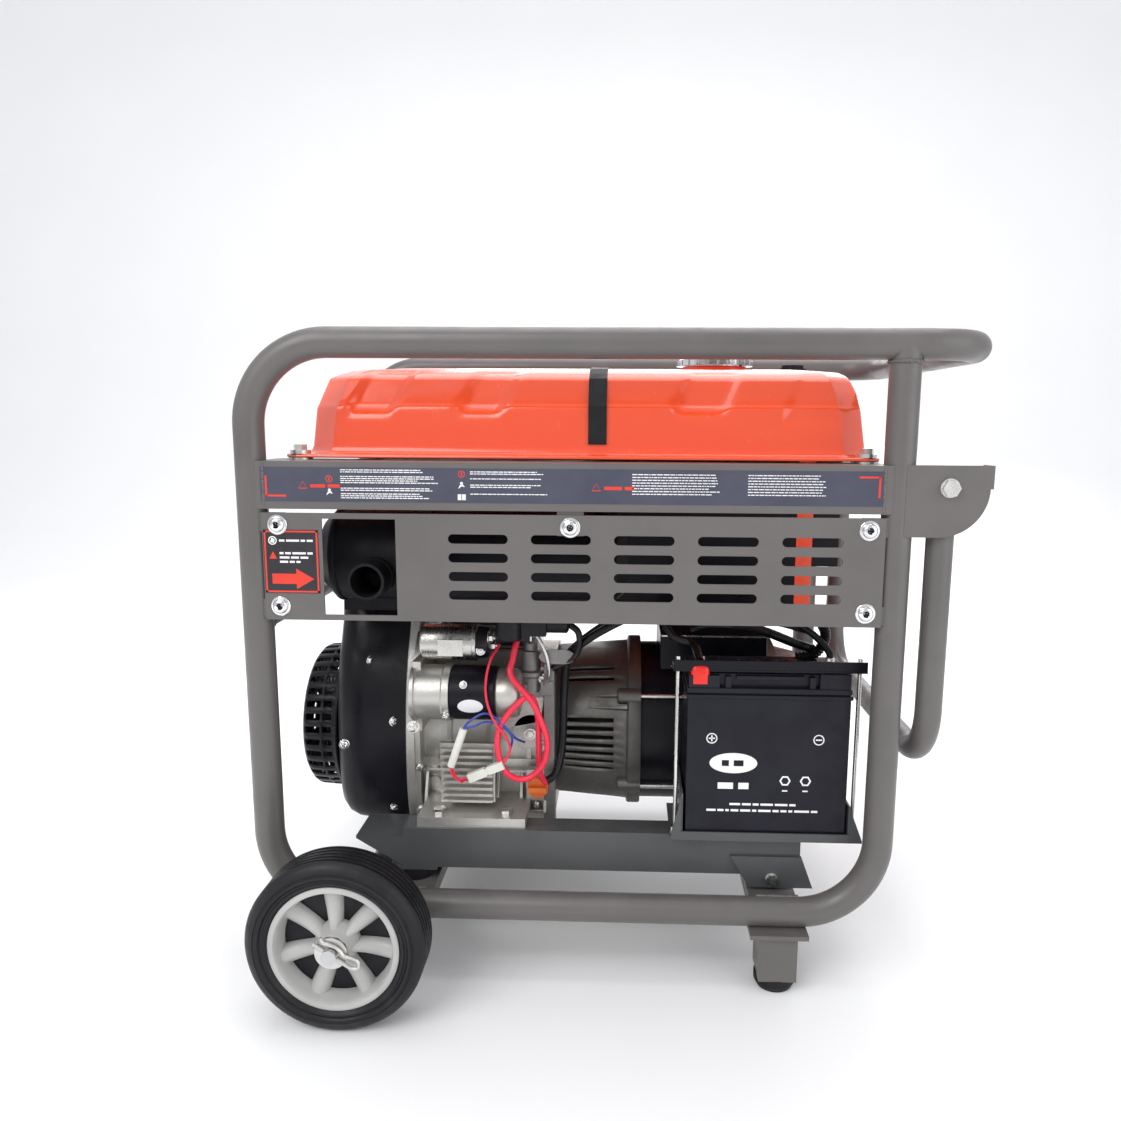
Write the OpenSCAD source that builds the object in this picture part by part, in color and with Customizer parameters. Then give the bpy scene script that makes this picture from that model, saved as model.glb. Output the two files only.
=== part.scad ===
// Engine driven welder: open tube frame, diesel engine, alternator, tank, battery, two wheels.
// Units are mm, +Z up, +X toward the folding handle, -Y toward the battery side.
// The origin is the bottom centre of the whole object's box, on the ground.

/* [Frame] */
// Distance between the left and right posts, centre to centre
post_span = 680; // [560:10:820]
// Distance between the near and far tube hoops, centre to centre
hoop_span = 437; // [400:5:520]
// Height of the top rail centre above the ground
top_z = 708; // [670:2:800]
// Height of the bottom rail centre above the ground
low_z = 86; // [80:1:92]
// Outside diameter of the frame tube
tube_d = 32; // [28:1:36]
// Wall thickness of the frame tube
tube_wall = 2; // [1.5:0.5:3]
// Centreline radius of the hoop corners
corner_r = 86; // [60:2:110]
// How far the top loop reaches past the right posts
loop_out = 86; // [70:2:140]
// Centreline radius of the top loop corners
loop_r = 56; // [40:2:70]
// Diameter of the upper cross tube
cross_d = 25; // [20:1:30]
// Height of the upper cross tube
cross_z = 412; // [380:2:440]

/* [Wheels] */
// Tyre outside diameter
tyre_d = 188; // [170:2:220]
// Tyre width
tyre_w = 50; // [40:1:56]
// Rim outside diameter
rim_d = 134; // [110:2:140]
// Axle diameter
axle_d = 16; // [14:1:20]
// Wheel centre, left of the frame middle
wheel_x = -236; // [-250:2:-200]
// Outer face of the tyre from the middle plane
wheel_face = 328; // [310:1:350]
// Number of wheel spokes
spokes = 7; // [5:1:9]
// Radial clearance of a turning shaft in its bore
run_clear = 0.06; // [0.02:0.01:0.09]

/* [Folding handle] */
// Tube diameter of the folding handle
grip_d = 28; // [22:1:30]
// Pivot bolt distance right of the posts
pivot_out = 47; // [40:1:60]
// Pivot bolt height
pivot_z = 564; // [540:1:590]
// Height of the hanging crossbar
bar_z = 263; // [220:1:320]
// Bend radius of the folding handle
grip_r = 60; // [45:1:80]
// Pivot bolt diameter
pivot_d = 12; // [10:1:14]

/* [Panels] */
// Top edge of the side beams
beam_top = 586; // [560:2:600]
// Height of the side beams
beam_h = 50; // [36:2:60]
// Guard panel height
guard_h = 115; // [90:1:130]
// Sheet thickness of the guard panel
sheet_t = 2; // [1.5:0.5:3]
// Slot length in the guard panel
slot_l = 63; // [40:1:70]
// Slot height in the guard panel
slot_h = 10; // [6:1:12]

/* [Engine] */
// Crankshaft height
crank_z = 230; // [224:1:250]
// Crankshaft distance behind the middle plane
crank_y = 14; // [0:1:20]
// Recoil cover radius
recoil_r = 96; // [80:1:104]
// Blower housing radius
blower_r = 116; // [104:1:120]
// Cylinder bore
bore_d = 86; // [70:1:92]
// Piston stroke
stroke = 70; // [60:1:76]
// Radius of the muffler body
muffler_r = 54; // [40:1:58]
// Radius of the muffler outlet
outlet_r = 20; // [14:1:22]

/* [Alternator] */
// Stator body radius
stator_r = 104; // [90:1:106]
// Stator body length
stator_l = 160; // [120:2:180]
// Rotor radius
rotor_r = 62; // [50:1:70]

/* [Tank] */
// Tank body length
tank_l = 618; // [480:2:640]
// Tank body width
tank_w = 352; // [300:2:360]
// Tank body height above its flange
tank_h = 98; // [70:1:102]
// Tank shell thickness
tank_t = 2; // [1.5:0.5:3]
// Fuel cap diameter
cap_d = 96; // [70:1:104]
// Fuel neck diameter
neck_d = 78; // [50:1:84]
// Fuel cap position right of the frame middle
cap_x = 168; // [120:2:200]

/* [Battery] */
// Battery length
batt_l = 186; // [150:1:190]
// Battery depth
batt_w = 88; // [76:1:92]
// Battery height with its lid
batt_h = 195; // [150:1:200]
// Left end of the battery right of the frame middle
batt_x = 128; // [120:1:134]

/* [Control box] */
// Control box length
box_l = 280; // [240:2:286]
// Control box height
box_h = 240; // [200:2:250]
// Control box depth
box_w = 72; // [60:1:76]

/* [Hidden] */
$fn = 64;
eps = 0.01;
half_l = post_span / 2;
half_w = hoop_span / 2;
tube_r = tube_d / 2;
grip_tr = grip_d / 2;
right_end = half_l + loop_out + tube_r;
left_end = min(-half_l - tube_r, wheel_x - tyre_d / 2);
x_mid = (right_end + left_end) / 2;
axle_z = tyre_d / 2;
face_y = half_w + tube_r - 2.5;
guard_top = beam_top - beam_h - 4;
guard_low = guard_top - guard_h;
pivot_x = half_l + pivot_out;
plate_t = 3;
plate_y = half_w + tube_r - plate_t;
leg_y = plate_y - grip_tr - 3;
stop_x = half_l + loop_out + 2;
plate_top = beam_top + 1;
plate_h = 74;
stop_low = plate_top - 24;
swing = 90 - asin((grip_tr + 1.2) / (stop_x - pivot_x)) - atan((pivot_z - stop_low) / (stop_x - pivot_x));
cross_top = low_z + 3;
mount_h = 14;
bed_low = cross_top + mount_h + 4;
bed_h = 48;
bed_top = bed_low + bed_h;
bed_y = 176;
bed_w = 34;
flange_z = beam_top + 2;
flange_t = 4;
tank_z = flange_z + flange_t;
tank_mid = 9;
tray_z = bed_top + 3;
batt_y = half_w - tube_r - 14;
batt_back = -batt_y + batt_w;
clamp_z = tray_z + batt_h;
box_x = 22;
box_top = beam_top - 2.5;
box_y = half_w - tube_r - box_w - 3;
foot_x = 232;
bell_x = -30;
ring_x = 62;
stator_x = 80;
rear_x = stator_x + stator_l;
case_x = -196;
recoil_x = -half_l - tube_r;
blow_x = -303;
head_z = crank_z + 190;
muffler_y = -124;
muffler_z = guard_low + 57;
knob_y = box_y + box_w + 2;

// Which sub-part to build

// ---------- helpers ----------
module seat() { translate([-x_mid, 0, 0]) children(); }

module rod_x(r, l) { rotate([0, 90, 0]) cylinder(r = r, h = l); }

module rod_y(r, l) { rotate([-90, 0, 0]) cylinder(r = r, h = l); }

module ring_x(ro, ri, l) {
    difference() {
        rod_x(ro, l);
        translate([-1, 0, 0]) rod_x(ri, l + 2);
    }
}

module box_at(x0, x1, y0, y1, z0, z1) {
    translate([x0, y0, z0]) cube([x1 - x0, y1 - y0, z1 - z0]);
}

// straight tube along Z
module pipe_z(r, w, l) {
    difference() {
        cylinder(r = r, h = l);
        translate([0, 0, -1]) cylinder(r = r - w, h = l + 2);
    }
}

// quarter bend in the XY plane, centred on the origin, from +X round to +Y
module elbow(rc, r, w) {
    rotate_extrude(angle = 90) translate([rc, 0]) difference() {
        circle(r = r);
        circle(r = r - w);
    }
}

module hex_y(af, h) { rotate([90, 0, 0]) cylinder(r = af / 2 / cos(30), h = h, $fn = 6); }

// bolt whose head faces -Y, head seat at y = 0
module bolt_y(af, hh, d, l) {
    hex_y(af, hh);
    rotate([90, 0, 0]) cylinder(r = af * 0.62, h = 1.4);
    rod_y(d / 2, l);
}

function unit(v) = v / norm(v);
function way(p, i) = unit(p[min(i + 1, len(p) - 1)] - p[max(i - 1, 0)]);
function sides(p) = [for (i = 0, n = unit(cross(way(p, 0), [0.31, 0.52, 0.79]));
    i < len(p);
    i = i + 1, n = i < len(p) ? unit(n - way(p, i) * (n * way(p, i))) : n) n];
function curve(a, b, c, d, t) = 0.5 * (2 * b + (c - a) * t + (2 * a - 5 * b + 4 * c - d) * t * t
    + (3 * b - a - 3 * c + d) * t * t * t);
function smooth(p, k) = concat([for (i = [0:len(p) - 2], j = [0:k - 1])
    curve(p[max(i - 1, 0)], p[i], p[i + 1], p[min(i + 2, len(p) - 1)], j / k)], [p[len(p) - 1]]);

// round cable through a list of points
module cable(ctrl, r, k = 5, s = 10) {
    p = smooth(ctrl, k);
    n = sides(p);
    m = len(p);
    pts = [for (i = [0:m - 1], j = [0:s - 1])
        p[i] + r * (n[i] * cos(360 * j / s) + cross(way(p, i), n[i]) * sin(360 * j / s))];
    skin = [for (i = [0:m - 2], j = [0:s - 1])
        [i * s + j, i * s + (j + 1) % s, (i + 1) * s + (j + 1) % s, (i + 1) * s + j]];
    first = [[for (j = [s - 1:-1:0]) j]];
    last = [[for (j = [0:s - 1]) (m - 1) * s + j]];
    polyhedron(points = pts, faces = concat([for (f = skin) [f[3], f[2], f[1], f[0]]],
        [for (f = first) [for (q = [s - 1:-1:0]) f[q]]], [for (f = last) [for (q = [s - 1:-1:0]) f[q]]]));
}

// ---------- frame ----------
module side_rail(s) {
    // one top rail, from the left corner to the start of the loop corner
    x0 = -half_l + corner_r;
    x1 = half_l + loop_out - loop_r;
    translate([x0, s * half_w, top_z]) rotate([0, 90, 0]) pipe_z(tube_r, tube_wall, x1 - x0);
    translate([x0, s * half_w, top_z - corner_r]) rotate([90, 0, 0]) rotate([0, 0, 90])
        elbow(corner_r, tube_r, tube_wall);
}

module top_loop_tube() {
    color("dimgray") seat() {
        side_rail(-1);
        side_rail(1);
        xc = half_l + loop_out - loop_r;
        translate([xc, half_w - loop_r, top_z]) elbow(loop_r, tube_r, tube_wall);
        translate([xc, -half_w + loop_r, top_z]) mirror([0, 1, 0]) elbow(loop_r, tube_r, tube_wall);
        translate([half_l + loop_out, -half_w + loop_r, top_z]) rotate([-90, 0, 0])
            pipe_z(tube_r, tube_wall, hoop_span - 2 * loop_r);
    }
}

module hoop(s) {
    lz = low_z + corner_r;
    translate([0, s * half_w, 0]) difference() {
        union() {
            translate([-half_l, 0, lz]) pipe_z(tube_r, tube_wall, top_z - corner_r - lz);
            translate([half_l, 0, lz]) pipe_z(tube_r, tube_wall, top_z - lz);
            translate([-half_l + corner_r, 0, lz]) rotate([90, 0, 0]) rotate([0, 0, 180])
                elbow(corner_r, tube_r, tube_wall);
            translate([half_l - corner_r, 0, lz]) rotate([90, 0, 0]) rotate([0, 0, 270])
                elbow(corner_r, tube_r, tube_wall);
            translate([-half_l + corner_r, 0, low_z]) rotate([0, 90, 0])
                pipe_z(tube_r, tube_wall, post_span - 2 * corner_r);
        }
        // saddle cut under the top rail
        translate([half_l - 40, 0, top_z]) rod_x(tube_r, 80);
        // notch for the axle tube
        translate([wheel_x, -30, axle_z]) rod_y(13, 60);
    }
}

module near_hoop() { color("dimgray") seat() hoop(-1); }

module far_hoop() { color("dimgray") seat() hoop(1); }

module post_cut() {
    for (x = [-half_l, half_l], s = [-1, 1]) translate([x, s * half_w, 0]) cylinder(r = tube_r, h = top_z);
}

module rail_cut() {
    for (s = [-1, 1]) translate([-half_l, s * half_w, low_z]) rod_x(tube_r, post_span);
}

module upper_cross_tube() {
    color("dimgray") seat() difference() {
        translate([-half_l, -half_w, cross_z]) rod_y(cross_d / 2, hoop_span);
        translate([-half_l, -half_w - 1, cross_z]) rod_y(cross_d / 2 - tube_wall, hoop_span + 2);
        post_cut();
    }
}

module crossmembers() {
    color("dimgray") seat() difference() {
        union() for (x = [-188, foot_x]) {
            box_at(x - 27, x + 27, -half_w, half_w, cross_top - 3, cross_top);
            box_at(x - 27, x - 24, -half_w, half_w, cross_top - 16.5, cross_top - 3);
            box_at(x + 24, x + 27, -half_w, half_w, cross_top - 16.5, cross_top - 3);
        }
        rail_cut();
        for (x = [-188, foot_x], s = [-1, 1]) translate([x, s * 158, 0]) cylinder(r = 5.2, h = 200);
    }
}

module axle_tube() {
    color("dimgray") seat() translate([wheel_x, -262, axle_z]) difference() {
        rod_y(13, 524);
        translate([0, -1, 0]) rod_y(axle_d / 2 + 0.05, 526);
    }
}

module side_beams() {
    color("dimgray") seat() difference() {
        union() for (s = [0, 1]) mirror([0, s, 0]) {
            box_at(-half_l + 9, half_l - 9, -face_y, -face_y + 2.5, beam_top - beam_h, beam_top);
            box_at(-half_l + 9, half_l - 9, -face_y + 2.5, -face_y + 72, beam_top - 2.5, beam_top);
            box_at(-half_l + 9, half_l - 9, -face_y + 2.5, -face_y + 26, beam_top - beam_h, beam_top - beam_h + 2.5);
        }
        post_cut();
        for (x = [-300, 316], s = [-1, 1]) translate([x, s * 180, 0]) cylinder(r = 4.2, h = 700);
    }
}

module plate_shape() {
    x0 = half_l + 3;
    difference() {
        union() {
            translate([x0, plate_top - plate_h]) square([stop_x - x0 - 50, plate_h]);
            translate([x0, plate_top - plate_h + 50]) square([stop_x - x0, plate_h - 50]);
            intersection() {
                translate([stop_x - 50, plate_top - plate_h + 50]) circle(r = 50);
                translate([stop_x - 50, plate_top - plate_h]) square([50, 50.5]);
            }
        }
        translate([pivot_x, pivot_z]) circle(d = pivot_d + 0.6);
    }
}

module pivot_plates() {
    color("dimgray") seat() difference() {
        union() for (s = [0, 1]) mirror([0, s, 0]) {
            translate([0, -plate_y, 0]) rotate([90, 0, 0]) linear_extrude(height = plate_t) plate_shape();
            box_at(stop_x, stop_x + 3, -plate_y - plate_t, -plate_y + 20, stop_low, plate_top);
        }
        post_cut();
    }
}

module handle_bolts() {
    color("silver") seat() for (s = [0, 1]) mirror([0, s, 0]) translate([pivot_x, -plate_y - plate_t, pivot_z]) {
        bolt_y(16, 7, pivot_d, 45);
        // spacer washer between plate and handle
        translate([0, plate_t, 0]) difference() {
            rod_y(pivot_d / 2 + 5, plate_y - leg_y - grip_tr - 0.4);
            translate([0, -1, 0]) rod_y(pivot_d / 2 - 0.5, 20);
        }
        translate([0, plate_t + plate_y - leg_y + grip_tr + 8.4, 0]) hex_y(18, 8);
    }
}

module folding_handle() {
    rc = grip_r;
    color("dimgray") seat() difference() {
        union() {
            for (s = [0, 1]) mirror([0, s, 0]) {
                translate([pivot_x, -leg_y, bar_z + rc]) cylinder(r = grip_tr, h = pivot_z + 18 - bar_z - rc);
                translate([pivot_x, -leg_y + rc, bar_z + rc]) rotate([0, 0, 90]) rotate([90, 0, 0])
                    rotate([0, 0, 180]) rotate_extrude(angle = 90) translate([rc, 0]) circle(r = grip_tr);
            }
            translate([pivot_x, -leg_y + rc, bar_z]) rod_y(grip_tr, 2 * (leg_y - rc));
        }
        translate([pivot_x, -leg_y - 40, pivot_z]) rod_y(pivot_d / 2 + run_clear, 2 * leg_y + 80);
    }
}

module tab_spots() {
    for (x = [-1, 1], z = [guard_low + 12, guard_top - 10]) translate([x * (half_l - 28), 0, z]) children();
}

module panel_tabs() {
    ty = face_y - sheet_t;
    color("dimgray") seat() difference() {
        union() {
            for (x = [-1, 1], z = [guard_low + 12, guard_top - 10])
                translate([x > 0 ? half_l - 38 : -half_l + 4, -ty, z - 10]) cube([34, 3, 20]);
            box_at(-14, 14, -face_y + 2.5, -face_y + 5.5, guard_top - 22, beam_top - beam_h);
        }
        post_cut();
        translate([0, -300, guard_top - 10]) rod_y(3.2, 100);
        for (x = [-1, 1], z = [guard_low + 12, guard_top - 10])
            translate([x * (half_l - 28), -300, z]) rod_y(3.2, 100);
    }
}

module slot(l, h) {
    translate([h / 2, 0]) circle(d = h);
    translate([l - h / 2, 0]) circle(d = h);
    translate([h / 2, -h / 2]) square([l - h, h]);
}

module guard_panel() {
    gl = post_span - 28;
    wx = -half_l + 78;
    color("dimgray") seat() translate([0, -face_y + sheet_t, 0]) rotate([90, 0, 0])
        linear_extrude(height = sheet_t) difference() {
            translate([-gl / 2, guard_low]) square([gl, guard_h]);
            // window in front of the muffler outlet
            translate([wx, guard_low + 6]) square([78, guard_h - 12]);
            for (c = [0:4], r = [0:3])
                translate([-half_l * 0.378 + c * (slot_l + 24.2), guard_low + 29 + r * 20]) slot(slot_l, slot_h);
            for (x = [-1, 1], z = [guard_low + 12, guard_top - 10])
                translate([x * (half_l - 28), z]) circle(r = 3.2);
            translate([0, guard_top - 10]) circle(r = 3.2);
        }
}

module panel_bolts() {
    color("silver") seat() {
        for (x = [-1, 1], z = [guard_low + 12, guard_top - 10])
            translate([x * (half_l - 28), -face_y, z]) bolt_y(10, 4, 6, 14);
        translate([0, -face_y, guard_top - 10]) bolt_y(10, 4, 6, 14);
    }
}

module foot_legs() {
    fz = 14;
    color("dimgray") seat() difference() {
        union() for (s = [-1, 1]) translate([foot_x, s * half_w, 0]) {
            box_at(-32, 32, -27, 27, low_z - tube_r - 3, low_z - tube_r + 2);
            box_at(-21, 21, -22, -19, fz, low_z - tube_r - 3);
            box_at(-21, 21, 19, 22, fz, low_z - tube_r - 3);
            box_at(-21, -18, -19, 19, fz, low_z - tube_r - 3);
            box_at(18, 21, -19, 19, fz, low_z - tube_r - 3);
            box_at(-18, 18, -19, 19, fz, fz + 3);
        }
        rail_cut();
        for (s = [-1, 1]) translate([foot_x, s * half_w, 0]) cylinder(r = 4.3, h = 30);
    }
}

module rubber_feet() {
    color("black") seat() for (s = [-1, 1]) translate([foot_x, s * half_w, 0]) {
        difference() {
            union() {
                cylinder(r1 = 20, r2 = 23, h = 6);
                translate([0, 0, 6]) cylinder(r = 23, h = 8);
            }
            translate([0, 0, -1]) cylinder(r = 9, h = 6);
        }
        translate([0, 0, 13]) cylinder(r = 4.2, h = 14);
    }
}

// ---------- wheels ----------
module axle() {
    color("silver") seat() translate([wheel_x, 0, axle_z]) difference() {
        translate([0, -wheel_face - 12, 0]) rod_y(axle_d / 2, 2 * wheel_face + 24);
        for (s = [-1, 1]) translate([0, s * (wheel_face + 5.6), 0]) rotate([0, 34, 0]) translate([-20, 0, 0]) rod_x(2.1, 40);
    }
}

module tyre_ring() {
    r = tyre_d / 2;
    ri = rim_d / 2 + 2;
    w = tyre_w;
    rotate([90, 0, 0]) rotate_extrude() difference() {
        polygon([[ri, -w / 2 + 5], [ri + 3, -w / 2 + 1], [r - 12, -w / 2], [r - 5, -w / 2 + 3],
            [r, -w / 2 + 10], [r, w / 2 - 10], [r - 5, w / 2 - 3], [r - 12, w / 2],
            [ri + 3, w / 2 - 1], [ri, w / 2 - 5]]);
        for (g = [-1.5:1:1.5]) translate([r - 2, g * w / 6.5 - 1]) square([4, 2]);
    }
}

module hub_body() {
    ro = rim_d / 2 + 1.7;
    w = tyre_w;
    difference() {
        union() {
            rotate([90, 0, 0]) rotate_extrude() polygon([[ro, -w / 2 + 5.3], [ro - 4, -w / 2 + 2],
                [ro - 9, -w / 2 + 4], [ro - 11, -w / 2 + 12], [ro - 6, 0], [ro - 11, w / 2 - 12],
                [ro - 9, w / 2 - 4], [ro - 4, w / 2 - 2], [ro, w / 2 - 5.3]]);
            rotate([90, 0, 0]) translate([0, 0, -w / 2]) cylinder(r = 17, h = w);
            for (i = [0:spokes - 1]) rotate([0, i * 360 / spokes + 5, 0]) {
                translate([0, 0, 10]) cylinder(r1 = 11, r2 = 8, h = ro - 17);
                translate([-4, -14, 12]) cube([8, 28, ro - 20]);
            }
        }
        translate([0, -60, 0]) rod_y(axle_d / 2 + run_clear, 120);
    }
}

module near_tyre() {
    color("black") seat() translate([wheel_x, -wheel_face + tyre_w / 2, axle_z]) tyre_ring();
}

module near_hub() {
    color("lightgray") seat() translate([wheel_x, -wheel_face + tyre_w / 2, axle_z]) hub_body();
}

module far_tyre() {
    color("black") seat() translate([wheel_x, wheel_face - tyre_w / 2, axle_z]) tyre_ring();
}

module far_hub() {
    color("lightgray") seat() translate([wheel_x, wheel_face - tyre_w / 2, axle_z]) hub_body();
}

module axle_washers() {
    color("silver") seat() for (s = [0, 1]) mirror([0, s, 0]) translate([wheel_x, 0, axle_z]) {
        translate([0, -wheel_face - 3.3, 0]) difference() {
            rod_y(17, 3);
            translate([0, -1, 0]) rod_y(axle_d / 2 + 0.05, 5);
        }
        translate([0, -wheel_face + tyre_w + 0.3, 0]) difference() {
            rod_y(15, wheel_face - tyre_w - 262.3);
            translate([0, -1, 0]) rod_y(axle_d / 2 + 0.05, 30);
        }
    }
}

module hitch_pins() {
    r = axle_d / 2 + 2.2;
    color("silver") seat() for (s = [-1, 1]) translate([wheel_x, s * (wheel_face + 5.6), axle_z])
        rotate([0, 34, 0]) cable([[-21, 0, 0], [0, 0, 0], [17, 0, 0], [26, 0, 0.5], [31, 0, 5], [27, 0, 10.5],
            [20, 0, 10], [12, 0, 7.5], [6, 0, r - 0.6], [0, 0, r], [-7, 0, r - 1.4], [-13, 0, 7], [-18, 0, 10]],
            1.9, 3, 8);
}

// ---------- engine bed ----------
module mount_spots() {
    for (x = [-188, foot_x], s = [-1, 1]) translate([x, s * 158, 0]) children();
}

module rubber_mounts() {
    color("black") seat() mount_spots() {
        translate([0, 0, cross_top]) cylinder(r = 18, h = mount_h);
        translate([0, 0, cross_top - 14]) cylinder(r = 4.9, h = mount_h + 34);
    }
}

module engine_bed() {
    color("dimgray") seat() difference() {
        union() {
            for (s = [0, 1]) mirror([0, s, 0]) {
                box_at(-200, 265, -bed_y, -bed_y + 3, bed_low, bed_top);
                box_at(-200, 265, -bed_y + 3, -bed_y + bed_w, bed_top - 3, bed_top);
                box_at(-200, 265, -bed_y + 3, -bed_y + bed_w, bed_low, bed_low + 3);
                // end brackets
                translate([0, -bed_y, 0]) rotate([90, 0, 0]) linear_extrude(height = 4)
                    polygon([[184, bed_low + 24], [266, bed_low + 24], [280, bed_low - 14], [206, bed_low - 14]]);
                translate([0, -bed_y + 4, 0]) rotate([90, 0, 0]) linear_extrude(height = 4)
                    polygon([[-256, bed_top - 14], [-200, bed_top - 14], [-200, bed_low]]);
                box_at(-256, -200, -bed_y, -bed_y + 60, bed_top - 14, bed_top - 11);
            }
            box_at(-215, -161, -bed_y, bed_y, bed_low - 4, bed_low);
            box_at(205, 259, -bed_y, bed_y, bed_low - 4, bed_low);
            box_at(262, 265, -bed_y + 3, bed_y - 3, bed_low, bed_low + 8);
            box_at(-200, -197, -bed_y + 3, bed_y - 3, bed_low, bed_low + 6);
        }
        mount_spots() cylinder(r = 5.2, h = 130);
        for (x = [-160, -80], s = [-1, 1]) translate([x, s * 158, 100]) cylinder(r = 4.2, h = 90);
        for (y = [-38, 66]) translate([rear_x - 18, y, 90]) cylinder(r = 4.2, h = 40);
        for (s = [-1, 1]) translate([foot_x, s * bed_y - 20, bed_low - 3]) rod_y(4.2, 40);
    }
}

module mount_bolts() {
    color("silver") seat() {
        mount_spots() {
            translate([0, 0, bed_low + 3]) difference() {
                cylinder(r = 9, h = 7, $fn = 6);
                translate([0, 0, -1]) cylinder(r = 4.9, h = 12);
            }
            translate([0, 0, cross_top - 10]) difference() {
                cylinder(r = 9, h = 7, $fn = 6);
                translate([0, 0, -1]) cylinder(r = 4.9, h = 12);
            }
        }
        // foot bolts of the engine and the alternator
        for (y = [-38, 66]) translate([rear_x - 18, y, 0]) {
            translate([0, 0, bed_low + 6]) cylinder(r = 8, h = 5, $fn = 6);
            translate([0, 0, bed_low - 10]) cylinder(r = 4.1, h = 17);
            translate([0, 0, bed_low - 9.5]) cylinder(r = 7, h = 5.5, $fn = 6);
        }
        for (x = [-160, -80], s = [-1, 1]) translate([x, s * 158, 0]) {
            translate([0, 0, bed_top + 12]) cylinder(r = 8, h = 6, $fn = 6);
            translate([0, 0, bed_top - 10]) cylinder(r = 4.1, h = 23);
        }
        for (s = [0, 1]) mirror([0, s, 0]) translate([foot_x, -bed_y - 4, bed_low - 3]) bolt_y(12, 6, 8, 4);
        // long studs that clamp the stator
        for (a = [33, 147, 213, 327])
            translate([ring_x - 6, crank_y + (stator_r + 5) * cos(a), crank_z + (stator_r + 5) * sin(a)])
                rod_x(3, rear_x - ring_x + 20);
    }
}

// ---------- engine ----------
module crank_axis() { translate([0, crank_y, crank_z]) children(); }

module crankcase() {
    x1 = bell_x;
    color("silver") seat() difference() {
        union() {
            translate([case_x, crank_y, crank_z]) rod_x(104, x1 - case_x);
            box_at(case_x, x1, crank_y - 108, crank_y + 100, bed_low + 12, crank_z - 20);
            box_at(-184, -56, crank_y - 62, crank_y + 62, crank_z + 60, crank_z + 106);
            box_at(-184, -56, -172, -90, bed_top, bed_top + 12);
            box_at(-184, -56, 90, 172, bed_top, bed_top + 12);
            translate([-46, -109, 184]) rod_y(16, 20);
            translate([-70, crank_y + 100, crank_z]) rod_y(9, 12);
            for (z = [180, 206]) translate([-178, -98, z]) rod_y(7, 30);
            for (x = [-60, -110, -160]) box_at(x - 3, x + 3, crank_y - 106, crank_y - 60, crank_z - 40, crank_z + 50);
        }
        crank_axis() translate([case_x + 12, 0, 0]) rod_x(92, x1 - case_x - 24);
        box_at(case_x + 8, x1 - 8, crank_y - 96, crank_y + 92, bed_low + 20, crank_z - 10);
        crank_axis() translate([case_x - 1, 0, 0]) rod_x(20 + run_clear, 400);
        translate([-120, crank_y, crank_z + 20]) cylinder(r = 50.05, h = 100);
        translate([-46, -120, 184]) rod_y(8.1, 60);
        translate([-70, crank_y + 60, crank_z]) rod_y(4 + run_clear, 80);
        for (x = [-160, -80], s = [-1, 1]) translate([x, s * 158, 100]) cylinder(r = 4.15, h = 90);
    }
}

module cylinder_block() {
    z0 = crank_z + 106;
    difference() {
        union() {
            translate([0, 0, z0 - 26]) cylinder(r = 50, h = 26 + 72);
            for (i = [0:6]) translate([-60, -58, z0 + 4 + i * 9]) cube([120, 116, 3]);
            translate([-62, -60, z0]) cube([124, 120, 3]);
            translate([-64, -60, z0 + 66]) cube([128, 120, 50]);
            for (x = [-50, 50], y = [-48, 48]) translate([x, y, z0]) cylinder(r = 6, h = 90);
        }
        translate([0, 0, z0 - 60]) cylinder(r = bore_d / 2, h = 60 + 96);
    }
}

module engine_cylinder() {
    color("gray") seat() translate([-120, crank_y, 0]) cylinder_block();
}

module valve_cover() {
    z0 = crank_z + 106 + 116;
    color("darkgray") seat() difference() {
        translate([-120, crank_y, z0]) {
            translate([-52, -46, 0]) cube([104, 92, 30]);
            translate([-44, -38, 30]) cube([88, 76, 8]);
            translate([0, 0, 38]) cylinder(r = 10, h = 4);
        }
        translate([-120, crank_y, z0 + 20]) cylinder(r = 4 + run_clear, h = 40);
    }
}

module blower_housing() {
    w = case_x - blow_x;
    color("black") seat() difference() {
        union() {
            crank_axis() translate([blow_x, 0, 0]) rod_x(blower_r, w);
            box_at(blow_x + 12, case_x, crank_y - 66, crank_y + 66, crank_z + 60, head_z + 34);
            box_at(case_x - 6, case_x, crank_y - 118, crank_y + 100, crank_z - 96, crank_z + 40);
        }
        crank_axis() translate([blow_x + 3, 0, 0]) rod_x(blower_r - 3, w - 6);
        crank_axis() translate([blow_x - 1, 0, 0]) rod_x(78, 10);
        crank_axis() translate([blow_x, 0, 0]) rod_x(26, w + 10);
        box_at(blow_x + 15, case_x - 3, crank_y - 63, crank_y + 63, crank_z + 60, head_z + 31);
        box_at(case_x - 4, case_x + 1, crank_y - 56, crank_y + 56, crank_z + 118, head_z + 20);
    }
}

module recoil_cover() {
    w = blow_x - recoil_x;
    color("black") seat() crank_axis() translate([recoil_x, 0, 0]) difference() {
        union() {
            ring_x(recoil_r, recoil_r - 3, w);
            translate([4, 0, 0]) rod_x(recoil_r - 1, 3);
            rod_x(46, 6);
            translate([6, 0, 0]) rod_x(30, 18);
            translate([w - 4, 0, 0]) ring_x(recoil_r + 10, recoil_r - 3, 4);
            translate([24, 60, 40]) rod_y(9, 36);
        }
        // air slots in the face and in the rim
        for (i = [0:23]) rotate([i * 15, 0, 0]) translate([3, -4, 54]) cube([8, 8, 32]);
        for (i = [0:29]) rotate([i * 12 + 6, 0, 0]) translate([10, -5, recoil_r - 8]) cube([13, 9, 20]);
        for (i = [0:29]) rotate([i * 12, 0, 0]) translate([28, -5, recoil_r - 8]) cube([13, 9, 20]);
        translate([24, 40, 40]) rod_y(2.6, 70);
    }
}

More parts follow.
